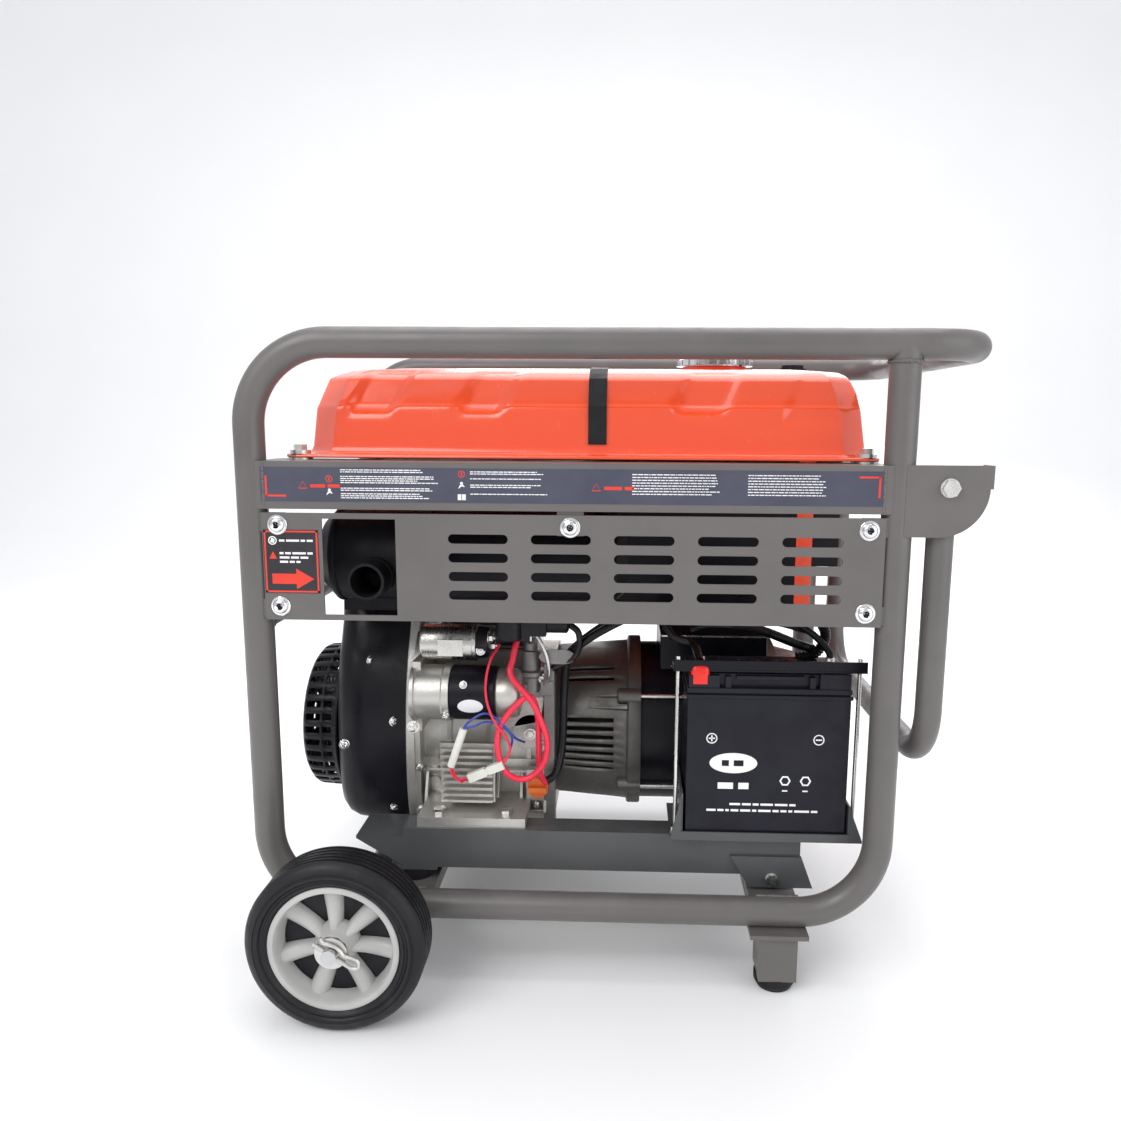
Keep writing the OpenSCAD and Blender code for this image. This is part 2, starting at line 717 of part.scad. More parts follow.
module flywheel_fan() {
    color("gray") seat() crank_axis() difference() {
        union() {
            translate([blow_x + 30, 0, 0]) rod_x(88, 22);
            translate([blow_x + 52, 0, 0]) rod_x(34, 20);
            for (i = [0:15]) rotate([i * 22.5, 0, 0]) translate([blow_x + 12, -1.5, 46]) cube([20, 3, 42]);
        }
        translate([blow_x, 0, 0]) rod_x(16, 100);
    }
}

module crankshaft() {
    color("silver") seat() crank_axis() {
        translate([blow_x + 20, 0, 0]) rod_x(16, 56);
        translate([blow_x + 76, 0, 0]) rod_x(20, -150 - blow_x - 76);
        translate([-102, 0, 0]) rod_x(20, 78);
        translate([-24, 0, 0]) rod_x(16, 90);
        difference() {
            union() for (x = [-150, -114]) translate([x, 0, 0]) intersection() {
                rod_x(62, 12);
                translate([-1, -34, -62]) cube([14, 68, 124]);
            }
            translate([-152, -80, 48]) cube([52, 160, 40]);
        }
        translate([-138, 0, stroke / 2]) rod_x(11, 24);
    }
}

module piston() {
    z0 = crank_z + 66 + stroke;
    color("silver") seat() translate([-120, crank_y, z0]) difference() {
        cylinder(r = bore_d / 2 - run_clear, h = 58);
        translate([0, 0, -1]) cylinder(r = bore_d / 2 - 7, h = 48);
        for (i = [0:2]) translate([0, 0, 40 + i * 5]) difference() {
            cylinder(r = bore_d / 2 + 1, h = 2);
            translate([0, 0, -1]) cylinder(r = bore_d / 2 - 2, h = 4);
        }
        translate([0, -60, 22]) rod_y(10, 120);
    }
}

module recoil_grip() {
    color("black") seat() crank_axis() translate([recoil_x + 24, 0, 40]) {
        translate([0, 46, 0]) rod_y(2.2, 60);
        translate([-22, 106, 0]) rod_x(9, 36);
        translate([0, 96.4, 0]) rod_y(7, 10);
    }
}

module starter_motor() {
    y = -122;
    z = 305;
    color("black") seat() difference() {
        union() {
            translate([case_x, y, z]) rod_x(34, 48);
            translate([-148, y, z]) rod_x(30, 62);
            translate([-86, y, z]) rod_x(28, 30);
            translate([-56, y, z]) rod_x(10, 5);
            translate([case_x, y + 4, z + 61]) rod_x(21, 84);
            translate([-112, y + 4, z + 61]) rod_x(18, 34);
            translate([-78, y - 4, z + 68]) rod_x(4, 8);
            translate([-78, y + 12, z + 54]) rod_x(4, 8);
            box_at(case_x, -150, y - 16, y + 18, z + 24, z + 48);
            box_at(case_x, case_x + 12, y - 30, -40, z - 46, z + 40);
        }
        crank_axis() translate([case_x - 1, 0, 0]) rod_x(104.02, 60);
        box_at(-184 - eps, -56, crank_y - 62, crank_y + 62, crank_z + 60, crank_z + 106);
    }
}

module charge_regulator() {
    color("silver") seat() difference() {
        union() {
            box_at(-162, -96, -138, -132, 172, 246);
            for (i = [0:8]) box_at(-160, -98, -147, -138, 175 + i * 8, 178 + i * 8);
            for (x = [-158, -106]) box_at(x, x + 6, -132, -86, 196, 216);
        }
        crank_axis() translate([-200, 0, 0]) rod_x(104.02, 180);
        box_at(-200, -20, crank_y - 108, 0, 100, crank_z - 20);
        box_at(-170, -30, crank_y - 106, crank_y - 60, crank_z - 40, crank_z + 50);
    }
}

module oil_dipstick() {
    color("orange") seat() translate([-46, 0, 184]) difference() {
        union() {
            translate([0, -122, 0]) rod_y(13, 12.7);
            translate([-11, -129, -3]) cube([22, 8, 6]);
            translate([0, -110, 0]) rod_y(8, 20);
            translate([0, -92, 0]) rod_y(2, 40);
        }
        for (i = [0:7]) rotate([0, i * 45, 0]) translate([13.5, -130, 0]) rod_y(1.6, 30);
    }
}

module muffler() {
    l = 350;
    color("black") seat() difference() {
        union() {
            translate([-290 + 14, muffler_y, muffler_z]) rod_x(muffler_r, l - 28);
            translate([-290, muffler_y, muffler_z]) rotate([0, 90, 0]) cylinder(r1 = muffler_r - 14, r2 = muffler_r, h = 14);
            translate([-290 + l - 14, muffler_y, muffler_z]) rotate([0, 90, 0])
                cylinder(r1 = muffler_r, r2 = muffler_r - 14, h = 14);
            translate([-222, -216, guard_low + 39]) rod_y(outlet_r, 64);
            translate([-222, -186, guard_low + 39]) rod_y(outlet_r + 1.6, 30);
            translate([-120, muffler_y + 20, muffler_z - 44]) rod_y(15, crank_y - 60 - muffler_y - 20);
            translate([-146, crank_y - 64, muffler_z - 62]) cube([52, 4, 38]);
            box_at(20, 32, muffler_y - 12, muffler_y + 12, muffler_z + 48, beam_top - 2.5);
            box_at(20, 32, -face_y + 20, muffler_y + 12, beam_top - 5.5, beam_top - 2.5);
        }
        translate([-290 + 4, muffler_y, muffler_z]) rod_x(muffler_r - 16, l - 8);
        translate([-222, -217, guard_low + 39]) rod_y(outlet_r - 3, 60);
    }
}

module air_cleaner() {
    color("black") seat() difference() {
        union() {
            translate([-120, 140, 404]) cylinder(r = 50, h = 90);
            translate([-120, 140, 494]) cylinder(r1 = 50, r2 = 40, h = 10);
            translate([-120, 140, 504]) cylinder(r = 7, h = 9, $fn = 6);
            translate([-120, crank_y + 60, 430]) rod_y(20, 40);
        }
        translate([-120, 140, 407]) cylinder(r = 46, h = 80);
    }
}

module speed_lever() {
    color("silver") seat() translate([-70, crank_y, crank_z]) {
        translate([0, 80, 0]) rod_y(4, 36);
        translate([0, 112.3, 0]) rod_y(9, 4);
        translate([-5, 112.3, 0]) cube([10, 3, 62]);
        translate([0, 112.3, 62]) rod_y(8, 8);
    }
}

module lift_lever() {
    z0 = crank_z + 106 + 116 + 42;
    color("red") seat() translate([-120, crank_y, z0]) {
        translate([0, 0, -20]) cylinder(r = 4, h = 21);
        translate([0, 0, 0.3]) cylinder(r = 9, h = 5);
        translate([0, -5, 0.3]) cube([46, 10, 5]);
        translate([46, 0, 0.3]) cylinder(r = 6, h = 9);
    }
}

// ---------- alternator ----------
module front_bell() {
    color("silver") seat() difference() {
        union() {
            crank_axis() translate([bell_x, 0, 0]) rotate([0, 90, 0]) cylinder(r1 = 98, r2 = 106, h = ring_x - bell_x);
            crank_axis() translate([ring_x, 0, 0]) rod_x(112, stator_x - ring_x);
        }
        crank_axis() translate([bell_x + 8, 0, 0]) rotate([0, 90, 0]) cylinder(r1 = 90, r2 = 98, h = ring_x - bell_x - 8);
        crank_axis() translate([bell_x - 1, 0, 0]) rod_x(40, 40);
        crank_axis() translate([ring_x - 1, 0, 0]) rod_x(96, 60);
        // cooling slots
        for (a = [-64, -52, -40, -28, -16, 16, 28, 40, 52, 64], s = [0, 180])
            crank_axis() rotate([a + s, 0, 0]) translate([bell_x + 16, -115, -3.5]) cube([58, 32, 7]);
        crank_axis() translate([stator_x, 0, 0]) rod_x(stator_r + eps, 60);
        for (a = [33, 147, 213, 327])
            translate([ring_x - 10, crank_y + (stator_r + 5) * cos(a), crank_z + (stator_r + 5) * sin(a)]) rod_x(3.05, 40);
    }
}

module stator() {
    color("black") seat() crank_axis() translate([stator_x, 0, 0]) ring_x(stator_r, rotor_r + 1, stator_l);
}

module rear_bell() {
    color("silver") seat() difference() {
        union() {
            crank_axis() translate([rear_x, 0, 0]) rod_x(112, 14);
            crank_axis() translate([rear_x + 14, 0, 0]) rotate([0, 90, 0]) cylinder(r1 = 102, r2 = 92, h = 40);
            // foot on the bed
            box_at(rear_x, rear_x + 14, -40, 68, bed_low, crank_z - 90);
            box_at(rear_x - 26, rear_x + 14, -50, 78, bed_low, bed_low + 6);
        }
        crank_axis() translate([rear_x - 1, 0, 0]) rod_x(96, 15);
        crank_axis() translate([rear_x + 13, 0, 0]) rotate([0, 90, 0]) cylinder(r1 = 94, r2 = 86, h = 35);
        crank_axis() translate([rear_x, 0, 0]) rod_x(12.5 + run_clear, 80);
        for (y = [-38, 66]) translate([rear_x - 18, y, bed_low - 1]) cylinder(r = 4.15, h = 20);
        for (i = [0:11]) crank_axis() rotate([i * 30, 0, 0]) translate([rear_x + 30, -8, 34]) cube([40, 16, 44]);
        for (a = [33, 147, 213, 327])
            translate([ring_x - 10, crank_y + (stator_r + 5) * cos(a), crank_z + (stator_r + 5) * sin(a)])
                rod_x(3.05, 400);
        box_at(rear_x - 5, rear_x + 60, -200, batt_back + 2, tray_z - 6, clamp_z);
    }
}

module rotor() {
    color("gray") seat() crank_axis() {
        translate([66, 0, 0]) rod_x(16, 40);
        translate([106, 0, 0]) rod_x(22, 10);
        translate([stator_x + 20, 0, 0]) rod_x(rotor_r, stator_l - 40);
        translate([rear_x - 20, 0, 0]) rod_x(20, 46);
        translate([rear_x + 26, 0, 0]) rod_x(12.5, 34);
    }
}

// ---------- fuel ----------
module tank_solid(d, top) {
    w = tank_w / 2 - d;
    x0 = tank_mid - tank_l / 2 + d;
    x1 = tank_mid + tank_l / 2 - d;
    h = tank_h - d;
    intersection() {
        translate([x0, 0, tank_z]) rotate([90, 0, 90]) linear_extrude(height = x1 - x0)
            polygon([[-w, 0], [-w, h * 0.54], [-w + 20, h * 0.84], [-w + 44, h * 0.95], [-w + 90, h],
                [w - 90, h], [w - 44, h * 0.95], [w - 20, h * 0.84], [w, h * 0.54], [w, 0]]);
        translate([0, w, tank_z]) rotate([90, 0, 0]) linear_extrude(height = 2 * w)
            polygon([[x0, 0], [x0 + 5, h * 0.5], [x0 + 16, h * 0.86], [x0 + 34, h * 0.95], [x0 + 80, h],
                [x1 - 60, h], [x1 - 22, h * 0.95], [x1 - 12, h * 0.7], [x1, 0]]);
        translate([0, 0, tank_z]) linear_extrude(height = tank_h) polygon([[x0, -w + 34], [x0 + 34, -w],
            [x1 - 22, -w], [x1, -w + 22], [x1, w - 22], [x1 - 22, w], [x0 + 34, w], [x0, w - 34]]);
    }
}

module fuel_tank() {
    fw = half_w - tube_r - 12;
    color("orangered") seat() difference() {
        union() {
            tank_solid(0, 0);
            box_at(tank_mid - tank_l / 2 - 18, tank_mid + tank_l / 2 + 14, -fw, fw, flange_z, tank_z);
            translate([cap_x, 0, tank_z + tank_h - 6]) cylinder(r = neck_d / 2 + 3, h = 14);
        }
        tank_solid(tank_t, 0);
        translate([cap_x, 0, tank_z + tank_h - 12]) cylinder(r = neck_d / 2, h = 40);
        for (x = [-300, 316], s = [-1, 1]) translate([x, s * 180, 500]) cylinder(r = 4.2, h = 200);
        // notch for the strap
        for (s = [0, 1]) mirror([0, s, 0]) box_at(24, 28, -fw - 1, -fw + 12, flange_z - 1, tank_z + 1);
    }
}

module fuel_cap() {
    z = tank_z + tank_h + 8.3;
    color("silver") seat() translate([cap_x, 0, z]) difference() {
        union() {
            cylinder(r = cap_d / 2, h = 7);
            translate([0, 0, 7]) cylinder(r1 = cap_d / 2 - 2, r2 = cap_d / 2 - 8, h = 4);
            translate([0, 0, -16]) cylinder(r = neck_d / 2 - 0.6, h = 17);
        }
        translate([0, 0, -17]) cylinder(r = neck_d / 2 - 4, h = 14);
        for (i = [0:23]) rotate([0, 0, i * 15]) translate([cap_d / 2 + 0.6, 0, -1]) cylinder(r = 2, h = 9);
    }
}

module fuel_gauge() {
    color("black") seat() translate([266, 0, tank_z + tank_h - 4]) difference() {
        union() {
            cylinder(r = 17, h = 10);
            translate([0, 0, 10]) cylinder(r = 14, h = 4);
        }
        translate([-40, -40, -20]) cube([80, 80, 20]);
        translate([-266, 0, -tank_z - tank_h + 4]) tank_solid(0, 0);
    }
}

module tank_strap() {
    w = tank_w / 2;
    h = tank_h;
    k = 1.8;
    color("black") seat() difference() {
        translate([16, 0, tank_z]) rotate([90, 0, 90]) linear_extrude(height = 20)
            polygon([[-w - k, 12], [-w - k, h * 0.54 + 0.6], [-w + 20 - k, h * 0.84 + 1.2], [-w + 44 - 1, h * 0.95 + k],
                [-w + 90 - 0.5, h + k], [w - 90 + 0.5, h + k], [w - 44 + 1, h * 0.95 + k],
                [w - 20 + k, h * 0.84 + 1.2], [w + k, h * 0.54 + 0.6], [w + k, 12]]);
        tank_solid(0, 0);
        translate([0, 0, -eps]) box_at(0, 60, -w + 1, w - 1, tank_z + 2, tank_z + 20);
    }
}

module tank_bolts() {
    color("silver") seat() for (x = [-300, 316], s = [-1, 1]) translate([x, s * 180, 0]) {
        translate([0, 0, beam_top]) difference() {
            cylinder(r = 13, h = flange_z - beam_top);
            translate([0, 0, -1]) cylinder(r = 4.2, h = 10);
        }
        translate([0, 0, tank_z]) difference() {
            cylinder(r = 11, h = 4);
            translate([0, 0, -1]) cylinder(r = 4, h = 10);
        }
        translate([0, 0, beam_top - 12]) cylinder(r = 4, h = tank_z - beam_top + 16);
        translate([0, 0, tank_z + 4]) cylinder(r = 7.5, h = 6, $fn = 6);
    }
}

// ---------- battery ----------
module battery() {
    x1 = batt_x + batt_l;
    y0 = -batt_y;
    y1 = batt_back;
    zl = tray_z + batt_h - 36;
    color("black") seat() difference() {
        union() {
            box_at(batt_x + 2, x1 - 2, y0 + 2, y1 - 2, tray_z, zl);
            box_at(batt_x, x1, y0, y1, zl, zl + 24);
            box_at(batt_x + 3, x1 - 3, y0 + 3, y1 - 3, zl + 24, tray_z + batt_h - 3);
            for (x = [batt_x + 8, x1 - 28]) box_at(x, x + 20, y0 + 6, y0 + 30, tray_z + batt_h - 20, tray_z + batt_h - 1);
            for (x = [batt_x + 18, x1 - 18]) translate([x, y0 + 44, tray_z + batt_h - 4]) cylinder(r = 6, h = 12);
            for (x = [batt_x + 1, x1 - 4]) box_at(x, x + 3, y0 + 2, y1 - 2, tray_z, zl);
        }
        // recessed carrying grip
        box_at(batt_x + 46, x1 - 46, y0 - 1, y0 + 12, zl + 10, zl + 22);
        box_at(batt_x + 56, x1 - 56, y1 - 24, y1 - 14, zl + 20, zl + 60);
    }
}

module battery_tray() {
    x1 = batt_x + batt_l;
    xa = batt_x - 3;
    xb = x1 + 3;
    ya = -batt_y - 2;
    yb = batt_back + 2;
    color("dimgray") seat() difference() {
        union() {
            box_at(xa - 12, xb + 14, ya, yb, bed_top, tray_z);
            box_at(xa, xb, ya, ya + 2, tray_z, tray_z + 7);
            box_at(xa, xb, yb - 2, yb, tray_z, tray_z + 24);
            box_at(xa, xa + 2, ya + 2, yb - 2, tray_z, tray_z + 52);
            box_at(xb - 2, xb, ya + 2, yb - 2, tray_z, tray_z + 40);
            translate([0, ya + 3, 0]) rotate([90, 0, 0]) linear_extrude(height = 3)
                polygon([[xb, tray_z], [xb + 14, tray_z], [xb, tray_z + 36]]);
            translate([0, ya + 3, 0]) rotate([90, 0, 0]) linear_extrude(height = 3)
                polygon([[xa, tray_z], [xa - 12, tray_z], [xa, tray_z + 46]]);
        }
        for (x = [xa - 6, xb + 6]) translate([x, -batt_y + 14, bed_top - 5]) cylinder(r = 2.6, h = 20);
    }
}

module battery_clamp() {
    xa = batt_x - 9;
    xb = batt_x + batt_l + 9;
    y = -batt_y + 14;
    color("black") seat() {
        difference() {
            union() {
                box_at(xa - 6, xb + 6, y - 10, y + 10, clamp_z, clamp_z + 2.5);
                box_at(xa - 6, xb + 6, y - 10, y - 7.5, clamp_z + 2.5, clamp_z + 13);
            }
            for (x = [xa, xb]) translate([x, y, clamp_z - 5]) cylinder(r = 2.55, h = 20);
        }
        for (x = [xa, xb]) translate([x, y, 0]) {
            translate([0, 0, bed_top + 0.3]) cylinder(r = 2.5, h = clamp_z - bed_top + 15);
            translate([0, 0, clamp_z + 2.5]) cylinder(r = 5.5, h = 5, $fn = 6);
            translate([0, 0, tray_z]) cylinder(r = 5.5, h = 4, $fn = 6);
        }
    }
}

module red_cable() {
    x = batt_x + 18;
    z = clamp_z + 9.6;
    color("red") seat() cable([[-69.4, -126, 373], [-58, -131, 372], [-46, -146, 352], [-38, -154, 312],
        [-44, -158, 268], [-66, -158, 240], [-90, -156, 256], [-96, -156, 296], [-78, -152, 330],
        [-40, -144, 350], [20, -124, 362], [80, -118, 372], [x - 16, -130, z + 14], [x, -140, z + 12],
        [x, -batt_y + 44, z]], 3.6);
}

module black_cable() {
    x = batt_x + batt_l - 18;
    z = clamp_z + 9.8;
    color("black") seat() cable([[x, -batt_y + 44, z], [x, -136, z + 12], [x - 20, -120, z + 20],
        [230, -106, 372], [160, -104, 374], [80, -104, 362], [20, -108, 346], [-20, -104, 320],
        [-42, -93, 298], [-47, -82, 284]], 4.2);
}

// ---------- control box ----------
module control_box() {
    x1 = box_x + box_l;
    y1 = box_y + box_w;
    z0 = box_top - box_h;
    color("orangered") seat() difference() {
        union() {
            box_at(box_x, x1, box_y, y1, z0, box_top);
            translate([0, y1, 0]) box_at(box_x - 4, x1 + 4, 0, 2, z0 - 4, box_top - 3);
        }
        box_at(box_x + 2, x1 - 2, box_y + 2, y1 - 1, z0 + 2, box_top - 2);
        for (i = [0, 1]) translate([box_x + 46 + i * 66, y1 - 5, z0 + 48]) rod_y(16, 20);
        translate([box_x + 210, y1 - 5, z0 + 60]) rod_y(5 + run_clear, 20);
        translate([box_x + 262, y1 - 5, z0 + 60]) rod_y(6 + run_clear, 20);
        translate([box_x + 250, y1 - 5, z0 + 130]) cube([12, 20, 26]);
        for (i = [0, 1]) translate([box_x + 60 + i * 80, y1 - 5, z0 + 128]) rod_y(24, 20);
    }
}

module control_sockets() {
    y1 = box_y + box_w;
    z0 = box_top - box_h;
    color("gray") seat() {
        // welding terminals
        for (i = [0, 1]) translate([box_x + 46 + i * 66, y1 - 12, z0 + 48]) difference() {
            union() {
                rod_y(15.9, 14);
                translate([0, 14, 0]) rod_y(21, 12);
            }
            translate([0, -1, 0]) rod_y(6.5, 40);
        }
        // power outlets
        for (i = [0, 1]) translate([box_x + 60 + i * 80, y1 - 12, z0 + 128]) difference() {
            union() {
                rod_y(23.9, 14);
                translate([0, 14, 0]) rod_y(29, 8);
            }
            translate([0, 12, 0]) rod_y(20, 20);
        }
        // meter
        box_at(box_x + 30, box_x + 96, y1 + 2, y1 + 8, z0 + 161, z0 + 188);
        box_at(box_x + 120, box_x + 170, y1 + 2, y1 + 8, z0 + 163, z0 + 186);
        translate([box_x + 210, y1 + 2, z0 + 174]) rod_y(8, 7);
    }
}

module current_knob() {
    z0 = box_top - box_h;
    color("black") seat() translate([box_x + 210, knob_y, z0 + 60]) difference() {
        union() {
            translate([0, -24, 0]) rod_y(5, 25);
            translate([0, 0.3, 0]) rod_y(22, 7);
            translate([0, 7, 0]) rotate([-90, 0, 0]) cylinder(r1 = 18, r2 = 16, h = 13);
        }
        for (i = [0:11]) rotate([0, i * 30, 0]) translate([19.5, 8, 0]) rod_y(3, 30);
    }
}

module start_key() {
    z0 = box_top - box_h;
    color("silver") seat() translate([box_x + 262, knob_y, z0 + 60]) {
        translate([0, -20, 0]) rod_y(6, 21);
        translate([0, 0.3, 0]) rod_y(11, 4);
        translate([-1.2, 4, -8]) cube([2.4, 18, 16]);
        translate([-3, 12, -11]) cube([6, 12, 22]);
    }
}

module breaker_lever() {
    z0 = box_top - box_h;
    color("black") seat() translate([box_x + 256, knob_y - 6, z0 + 143]) {
        translate([-5.7, 0, 0]) rod_x(5, 11.4);
        translate([-4, 0, -3]) cube([8, 16, 6]);
    }
}

top_loop_tube();
near_hoop();
far_hoop();
upper_cross_tube();
crossmembers();
axle_tube();
side_beams();
pivot_plates();
handle_bolts();
folding_handle();
panel_tabs();
guard_panel();
panel_bolts();
foot_legs();
rubber_feet();
axle();
near_tyre();
near_hub();
far_tyre();
far_hub();
axle_washers();
hitch_pins();
rubber_mounts();
engine_bed();
mount_bolts();
crankcase();
engine_cylinder();
valve_cover();
blower_housing();
recoil_cover();
flywheel_fan();
crankshaft();
piston();
recoil_grip();
starter_motor();
charge_regulator();
oil_dipstick();
muffler();
air_cleaner();
speed_lever();
lift_lever();
front_bell();
stator();
rear_bell();
rotor();
fuel_tank();
fuel_cap();
fuel_gauge();
tank_strap();
tank_bolts();
battery();
battery_tray();
battery_clamp();
red_cable();
black_cable();
control_box();
control_sockets();
current_knob();
start_key();
breaker_lever();
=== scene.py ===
# Engine driven welder on a wheeled tube frame: the looks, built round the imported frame
import bmesh, bpy, math, random
import numpy as np
from mathutils import Matrix, Vector


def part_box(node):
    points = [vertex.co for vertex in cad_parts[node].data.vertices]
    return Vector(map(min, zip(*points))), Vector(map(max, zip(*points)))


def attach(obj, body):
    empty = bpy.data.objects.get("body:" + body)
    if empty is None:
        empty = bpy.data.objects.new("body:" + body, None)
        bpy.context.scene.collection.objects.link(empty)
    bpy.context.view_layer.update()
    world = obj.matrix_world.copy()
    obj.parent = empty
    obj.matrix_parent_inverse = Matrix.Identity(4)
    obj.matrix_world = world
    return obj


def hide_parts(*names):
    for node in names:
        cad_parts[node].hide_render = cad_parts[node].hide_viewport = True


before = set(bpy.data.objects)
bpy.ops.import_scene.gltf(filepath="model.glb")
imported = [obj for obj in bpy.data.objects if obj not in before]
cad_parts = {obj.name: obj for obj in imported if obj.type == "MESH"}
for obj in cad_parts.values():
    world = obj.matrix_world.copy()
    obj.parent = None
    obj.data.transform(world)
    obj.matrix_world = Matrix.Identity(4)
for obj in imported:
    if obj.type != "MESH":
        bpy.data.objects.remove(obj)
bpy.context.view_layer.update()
print("frame loaded:", len(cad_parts), "nodes")


def edges(node):
    # lowest and highest corner of a CAD node, in millimetres
    low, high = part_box(node)
    return low * 1000, high * 1000


# camera, floor and lights
shot = {"place": (0.0131, -1.1374, 0.6279), "yaw": -1.94, "pitch": 8.8, "roll": 0.36,
        "lens": 28.13, "shiftX": -0.0302, "shiftY": -0.0023}


def makeCamera(s):
    yaw, pitch, roll = (math.radians(s[k]) for k in ("yaw", "pitch", "roll"))
    ahead = Vector((math.sin(yaw) * math.cos(pitch), math.cos(yaw) * math.cos(pitch), -math.sin(pitch)))
    right = ahead.cross(Vector((0, 0, 1))).normalized()
    up = right.cross(ahead)
    right, up = right * math.cos(roll) + up * math.sin(roll), up * math.cos(roll) - right * math.sin(roll)
    cam = bpy.data.objects.new("camera", bpy.data.cameras.new("camera"))
    cam.matrix_world = Matrix((right, up, -ahead)).transposed().to_4x4()
    cam.location = s["place"]
    cam.data.lens, cam.data.shift_x, cam.data.shift_y = s["lens"], s["shiftX"], s["shiftY"]
    bpy.context.scene.collection.objects.link(cam)
    bpy.context.scene.camera = cam


makeCamera(shot)
bpy.context.scene.view_settings.view_transform = "Standard"

studio = {"sky": (0.96, 0.97, 1.0), "skyPower": 0.72,
          "lamps": [("key", (-1.6, -2.4, 2.6), 2.2, 62), ("fill", (2.4, -2.0, 1.2), 2.4, 26),
                    ("over", (0.0, 0.6, 3.0), 2.6, 46), ("back", (0.4, 2.6, 1.6), 2.4, 30)]}


def makeStudio(s):
    world = bpy.data.worlds.new("studio")
    world.use_nodes = True
    world.node_tree.nodes["Background"].inputs[0].default_value = (*s["sky"], 1)
    world.node_tree.nodes["Background"].inputs[1].default_value = s["skyPower"]
    bpy.context.scene.world = world
    for name, place, size, power in s["lamps"]:
        lamp = bpy.data.lights.new(name, "AREA")
        lamp.size, lamp.energy = size, power
        o = bpy.data.objects.new(name, lamp)
        o.location = place
        o.rotation_euler = (Vector((0, 0, 0.35)) - Vector(place)).to_track_quat("-Z", "Y").to_euler()
        bpy.context.scene.collection.objects.link(o)


makeStudio(studio)


# shader maths
class Val:
    # a value or colour on a node socket; arithmetic adds Math nodes
    def __init__(self, paint, socket):
        self.paint, self.socket = paint, socket

    def math(self, operation, a, b):
        return self.paint.node("Math", {"operation": operation}, {0: a, 1: b})

    def __add__(self, b):
        return self.math("ADD", self, b)

    def __mul__(self, b):
        return self.math("MULTIPLY", self, b)


class Paint:
    # one material: a Principled shader and the nodes that feed it
    def __init__(self, name):
        self.mat = bpy.data.materials.new(name)
        self.mat.use_nodes = True
        self.tree = self.mat.node_tree
        self.shader = self.tree.nodes["Principled BSDF"]
        self.place = Val(self, self.tree.nodes.new("ShaderNodeTexCoord").outputs["Object"])

    def node(self, kind, settings=None, inputs=None, out=0):
        n = self.tree.nodes.new("ShaderNode" + kind)
        for key, v in (settings or {}).items():
            setattr(n, key, v)
        for key, v in (inputs or {}).items():
            self.feed(n.inputs[key], v)
        return Val(self, n.outputs[out])

    def feed(self, socket, v):
        if isinstance(v, Val):
            self.tree.links.new(v.socket, socket)
        elif isinstance(v, tuple) and socket.type == "RGBA" and len(v) == 3:
            socket.default_value = (*v, 1)
        else:
            socket.default_value = v

    def noise(self, scale, detail=3.0, rough=0.55, where=None):
        return self.node("TexNoise", {}, {"Vector": where or self.place, "Scale": scale,
                                          "Detail": detail, "Roughness": rough})

    def cells(self, scale):
        return self.node("TexVoronoi", {}, {"Vector": self.place, "Scale": scale})

    def stretched(self, x, y, z):
        return self.node("Mapping", {}, {"Vector": self.place, "Scale": (x, y, z)})

    def ramp(self, v, low, high, a=0.0, b=1.0):
        return self.node("MapRange", {"interpolation_type": "SMOOTHSTEP"},
                         {0: v, 1: low, 2: high, 3: a, 4: b})

    def blend(self, part, a, b):
        return self.node("Mix", {"data_type": "RGBA"}, {0: part, 6: a, 7: b}, out=2)

    def facing(self, i):
        # how far the surface looks along axis i
        return self.node("SeparateXYZ", {}, {0: self.node("NewGeometry", out=1)}, out=i)

    def bump(self, height, depth, strength=1.0, under=None):
        ins = {"Height": height, "Distance": depth, "Strength": strength}
        if under:
            ins["Normal"] = under
        return self.node("Bump", {}, ins)

    def finish(self, **sockets):
        for key, v in sockets.items():
            self.feed(self.shader.inputs[key.replace("_", " ")], v)
        return self.mat


def satinPaint(name, base, dark, rough=0.42, coat=0.0, dust=0.25, shine=0.5):
    # sprayed paint: orange-peel, slow colour drift, dust settling on what faces up
    p = Paint(name)
    drift = p.ramp(p.noise(7, 4), 0.35, 0.7)
    speck = p.ramp(p.noise(900, 1), 0.62, 0.72)
    settle = p.ramp(p.facing(2), 0.3, 1.0) * p.ramp(p.noise(26, 5), 0.4, 0.75) * dust
    shade = p.blend(drift * 0.7 + speck * 0.15, base, dark)
    shade = p.blend(settle, shade, (0.42, 0.40, 0.37))
    worn = p.ramp(p.noise(40, 4), 0.3, 0.75, rough - 0.07, rough + 0.09) + settle * 0.25
    return p.finish(Base_Color=shade, Roughness=worn,
                    Coat_Weight=coat, Coat_Roughness=0.12, Specular_IOR_Level=shine,
                    Normal=p.bump(p.noise(420, 2), 0.0004, 0.22, p.bump(p.noise(60, 1), 0.0008, 0.12)))


def bareMetal(name, base, dark, rough=0.34, grain=(1, 1, 1), pits=0.3, metal=1.0, scale=90):
    # plated or cast metal: grain, pits and slight staining
    p = Paint(name)
    where = p.stretched(*grain)
    stain = p.ramp(p.noise(14, 5), 0.4, 0.72)
    brushed = p.noise(scale, 4, 0.6, where)
    pit = p.ramp(p.cells(scale * 4), 0.0, 0.22)
    return p.finish(Base_Color=p.blend(stain * 0.75 + brushed * 0.25, base, dark), Metallic=metal,
                    Roughness=p.ramp(brushed + stain * 0.4, 0.3, 1.0, rough - 0.08, rough + 0.16),
                    Normal=p.bump(brushed, 0.0004, 0.25, p.bump(pit, 0.0006, pits)))


